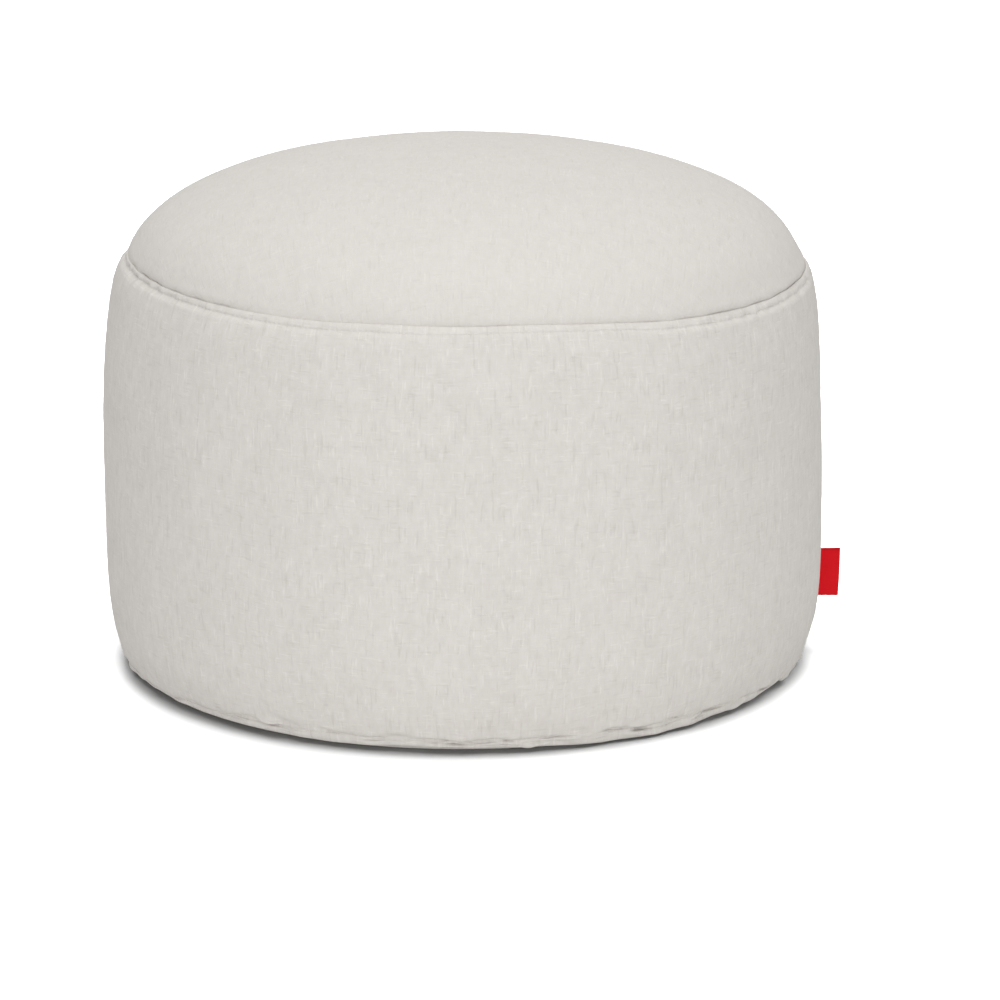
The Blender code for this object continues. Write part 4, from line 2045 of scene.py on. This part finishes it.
@dataclass(frozen=True)
class Studio:
    """The pale floor, the soft light, and the camera at the photo's viewing angle."""

    sky: float = 0.59
    boxes: tuple[SoftBox, ...] = (
        SoftBox("overhead_box", (0.0, 0.0, 3.0), 2.0, 36.4),
        SoftBox("front_box", (0.5, -3.2, 0.8), 1.2, 24.8),
        SoftBox("front_fill", (-1.0, -3.0, 0.8), 1.2, 6.4),
    )
    floor_reach: float = 8.0
    floor_level: float = -0.0001
    floor_tone: float = 0.25
    floor_lights: tuple[FloorLight, ...] = (
        FloorLight("floor_sky", 9.6, 70.0),
        FloorLight("floor_back", 15.1, 34.0, from_behind_deg=8.0),
        FloorLight("floor_side", 2.6, 34.0, from_right_deg=40.0),
    )
    bounce_tone: float = 0.90
    middle: tuple[float, float, float] = (0.0, 0.0, 0.1507)
    distance: float = 2.5
    elevation_deg: float = 13.76
    aim_right: float = 0.02531
    aim_below: float = 0.04195
    lens: float = 128.7

    def lay_sheet(self, name: str, level: float, tone: float) -> Object:
        """Lays a wide sheet of studio paper.

        Args:
            name: Its name.
            level: Its height.
            tone: How pale it is, from 0 to 1.

        Returns:
            The sheet.
        """
        reach = self.floor_reach
        mesh = bpy.data.meshes.new(name)
        corners = [(-reach, -reach), (reach, -reach), (reach, reach), (-reach, reach)]
        mesh.from_pydata([(x, y, level) for x, y in corners], [], [(0, 1, 2, 3)])
        sheet = put(name, mesh)
        desk = FinishDesk(name)
        desk.shader.inputs["Base Color"].default_value = (tone, tone, tone, 1.0)
        mesh.materials.append(desk.surface(Roughness=0.9, Specular_IOR_Level=0.1))
        sheet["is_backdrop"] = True
        return sheet

    def lay_floor(self) -> None:
        """Lays the floor, with lights of its own, over the pale paper that lights the stool from below."""
        floor = self.lay_sheet("studio_floor", self.floor_level, self.floor_tone)
        floor.visible_diffuse = floor.visible_glossy = floor.visible_shadow = False
        bounce = self.lay_sheet("bounce_paper", self.floor_level * 2, self.bounce_tone)
        bounce.visible_camera = False
        lit = bpy.data.collections.new("floor_only")
        lit.objects.link(floor)
        for light in self.floor_lights:
            light.build(lit)

    def light_up(self) -> None:
        """Sets the even surrounding light and hangs the soft boxes."""
        world = bpy.data.worlds.new("studio_air")
        world.use_nodes = True
        background = world.node_tree.nodes["Background"]
        background.inputs["Color"].default_value = (1.0, 1.0, 1.0, 1.0)
        background.inputs["Strength"].default_value = self.sky
        scene = bpy.context.scene
        scene.world = world
        scene.view_settings.view_transform = "Standard"
        for box in self.boxes:
            box.build()

    def set_camera(self) -> None:
        """Stands the camera where the photo was taken from."""
        up = math.radians(self.elevation_deg)
        middle = Vector(self.middle)
        place = middle + self.distance * Vector((0.0, -math.cos(up), math.sin(up)))
        aim = middle + Vector((self.aim_right, 0.0, 0.0))
        aim -= self.aim_below * Vector((0.0, math.sin(up), math.cos(up)))
        camera = put("camera", bpy.data.cameras.new("camera"))
        camera.data.lens = self.lens
        camera.location = place
        camera.rotation_euler = (aim - place).to_track_quat("-Z", "Y").to_euler()
        bpy.context.scene.camera = camera


# ---- The footstool ----
@dataclass
class Footstool:
    """The whole footstool: its form, its seams and its pieces."""

    form: StoolForm = field(default_factory=StoolForm)
    base_seam: BaseSeam = field(default_factory=BaseSeam)
    side_seam: SideSeam = field(default_factory=SideSeam)
    unevenness: tuple[RandomWaves, ...] = (
        RandomWaves((0.060, 0.130), 0.00035, 24, 3),
        RandomWaves((0.012, 0.020), 0.00006, 60, 4),
    )
    folds: tuple[Gathers, Gathers] = (
        Gathers(60, 0.00030, (0.003, 0.009), (0.0010, 0.0020), (0.001, 0.015), 25.0, 11),
        Gathers(90, 0.0019, (0.005, 0.012), (0.0010, 0.0020), (0.004, 0.0135), 11.0, 12),
    )
    creases: tuple[Gathers, Gathers] = (
        Gathers(46, 0.00045, (0.003, 0.007), (0.0006, 0.0010), (0.001, 0.006), 20.0, 13, (-1.0,)),
        Gathers(80, 0.0030, (0.004, 0.010), (0.0006, 0.0010), (0.0055, 0.0120), 10.0, 14, (-1.0,)),
    )
    crown_swells: tuple[Swell, ...] = (
        Swell(90.0, 0.3464, 10.0, 0.010, 0.0007),
        Swell(59.0, 0.3420, 18.0, 0.012, -0.0006),
        Swell(122.0, 0.3410, 20.0, 0.012, -0.0006),
    )
    swells: tuple[Swell, ...] = (
        Swell(180.0, 0.058, 45.0, 0.042, 0.0016),
        Swell(180.0, 0.142, 40.0, 0.030, -0.0010),
        Swell(180.0, 0.205, 40.0, 0.027, 0.0008),
        Swell(180.0, 0.266, 40.0, 0.018, -0.0006),
        Swell(0.0, 0.049, 45.0, 0.060, 0.0014),
        Swell(0.0, 0.020, 40.0, 0.012, -0.0017),
        Swell(0.0, 0.178, 40.0, 0.038, -0.0010),
        Swell(0.0, 0.250, 40.0, 0.018, 0.0004),
        Swell(0.0, 0.279, 14.0, 0.003, 0.0006),
    )

    def build(self) -> None:
        """Builds and dresses every piece."""
        top_seam = TopSeam(self.form)
        filling = BeadFilling(self.form)
        crown, wall = filling.settle()
        plain = CanvasFinish("canvas_plain", contrast=0.5).material()
        sewn = CanvasFinish("canvas_sewn", sewn=True).material()
        TopPanel(self.form, top_seam, filling, crown, self.unevenness, self.crown_swells).build(plain)
        seams = top_seam, self.base_seam, self.side_seam
        gathers = self.folds, self.creases
        band = SideBand(self.form, *seams, filling, wall, self.unevenness, gathers, self.swells)
        band.build(sewn)
        BasePanel(self.base_seam).build(plain)
        SideTab(self.form).build(RibbonFinish().material())
        thread = ThreadFinish().material()
        for place in SeamPlace:
            Topstitching(band, place).build(thread)


def write_sizes() -> None:
    """Reports the frame's box and the dressed model's box."""
    boxes = {"cad": cad_box, "visual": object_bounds()}
    for name, (low, high) in boxes.items():
        log.info("%s box: %s mm", name, [round(side * 1000, 1) for side in high - low])


def main() -> None:
    """Builds the footstool and its studio."""
    logging.basicConfig(level=logging.INFO, format="%(name)s: %(message)s")
    studio = Studio()
    studio.set_camera()
    Footstool().build()
    studio.lay_floor()
    studio.light_up()
    write_sizes()


if __name__ == "__main__":
    main()
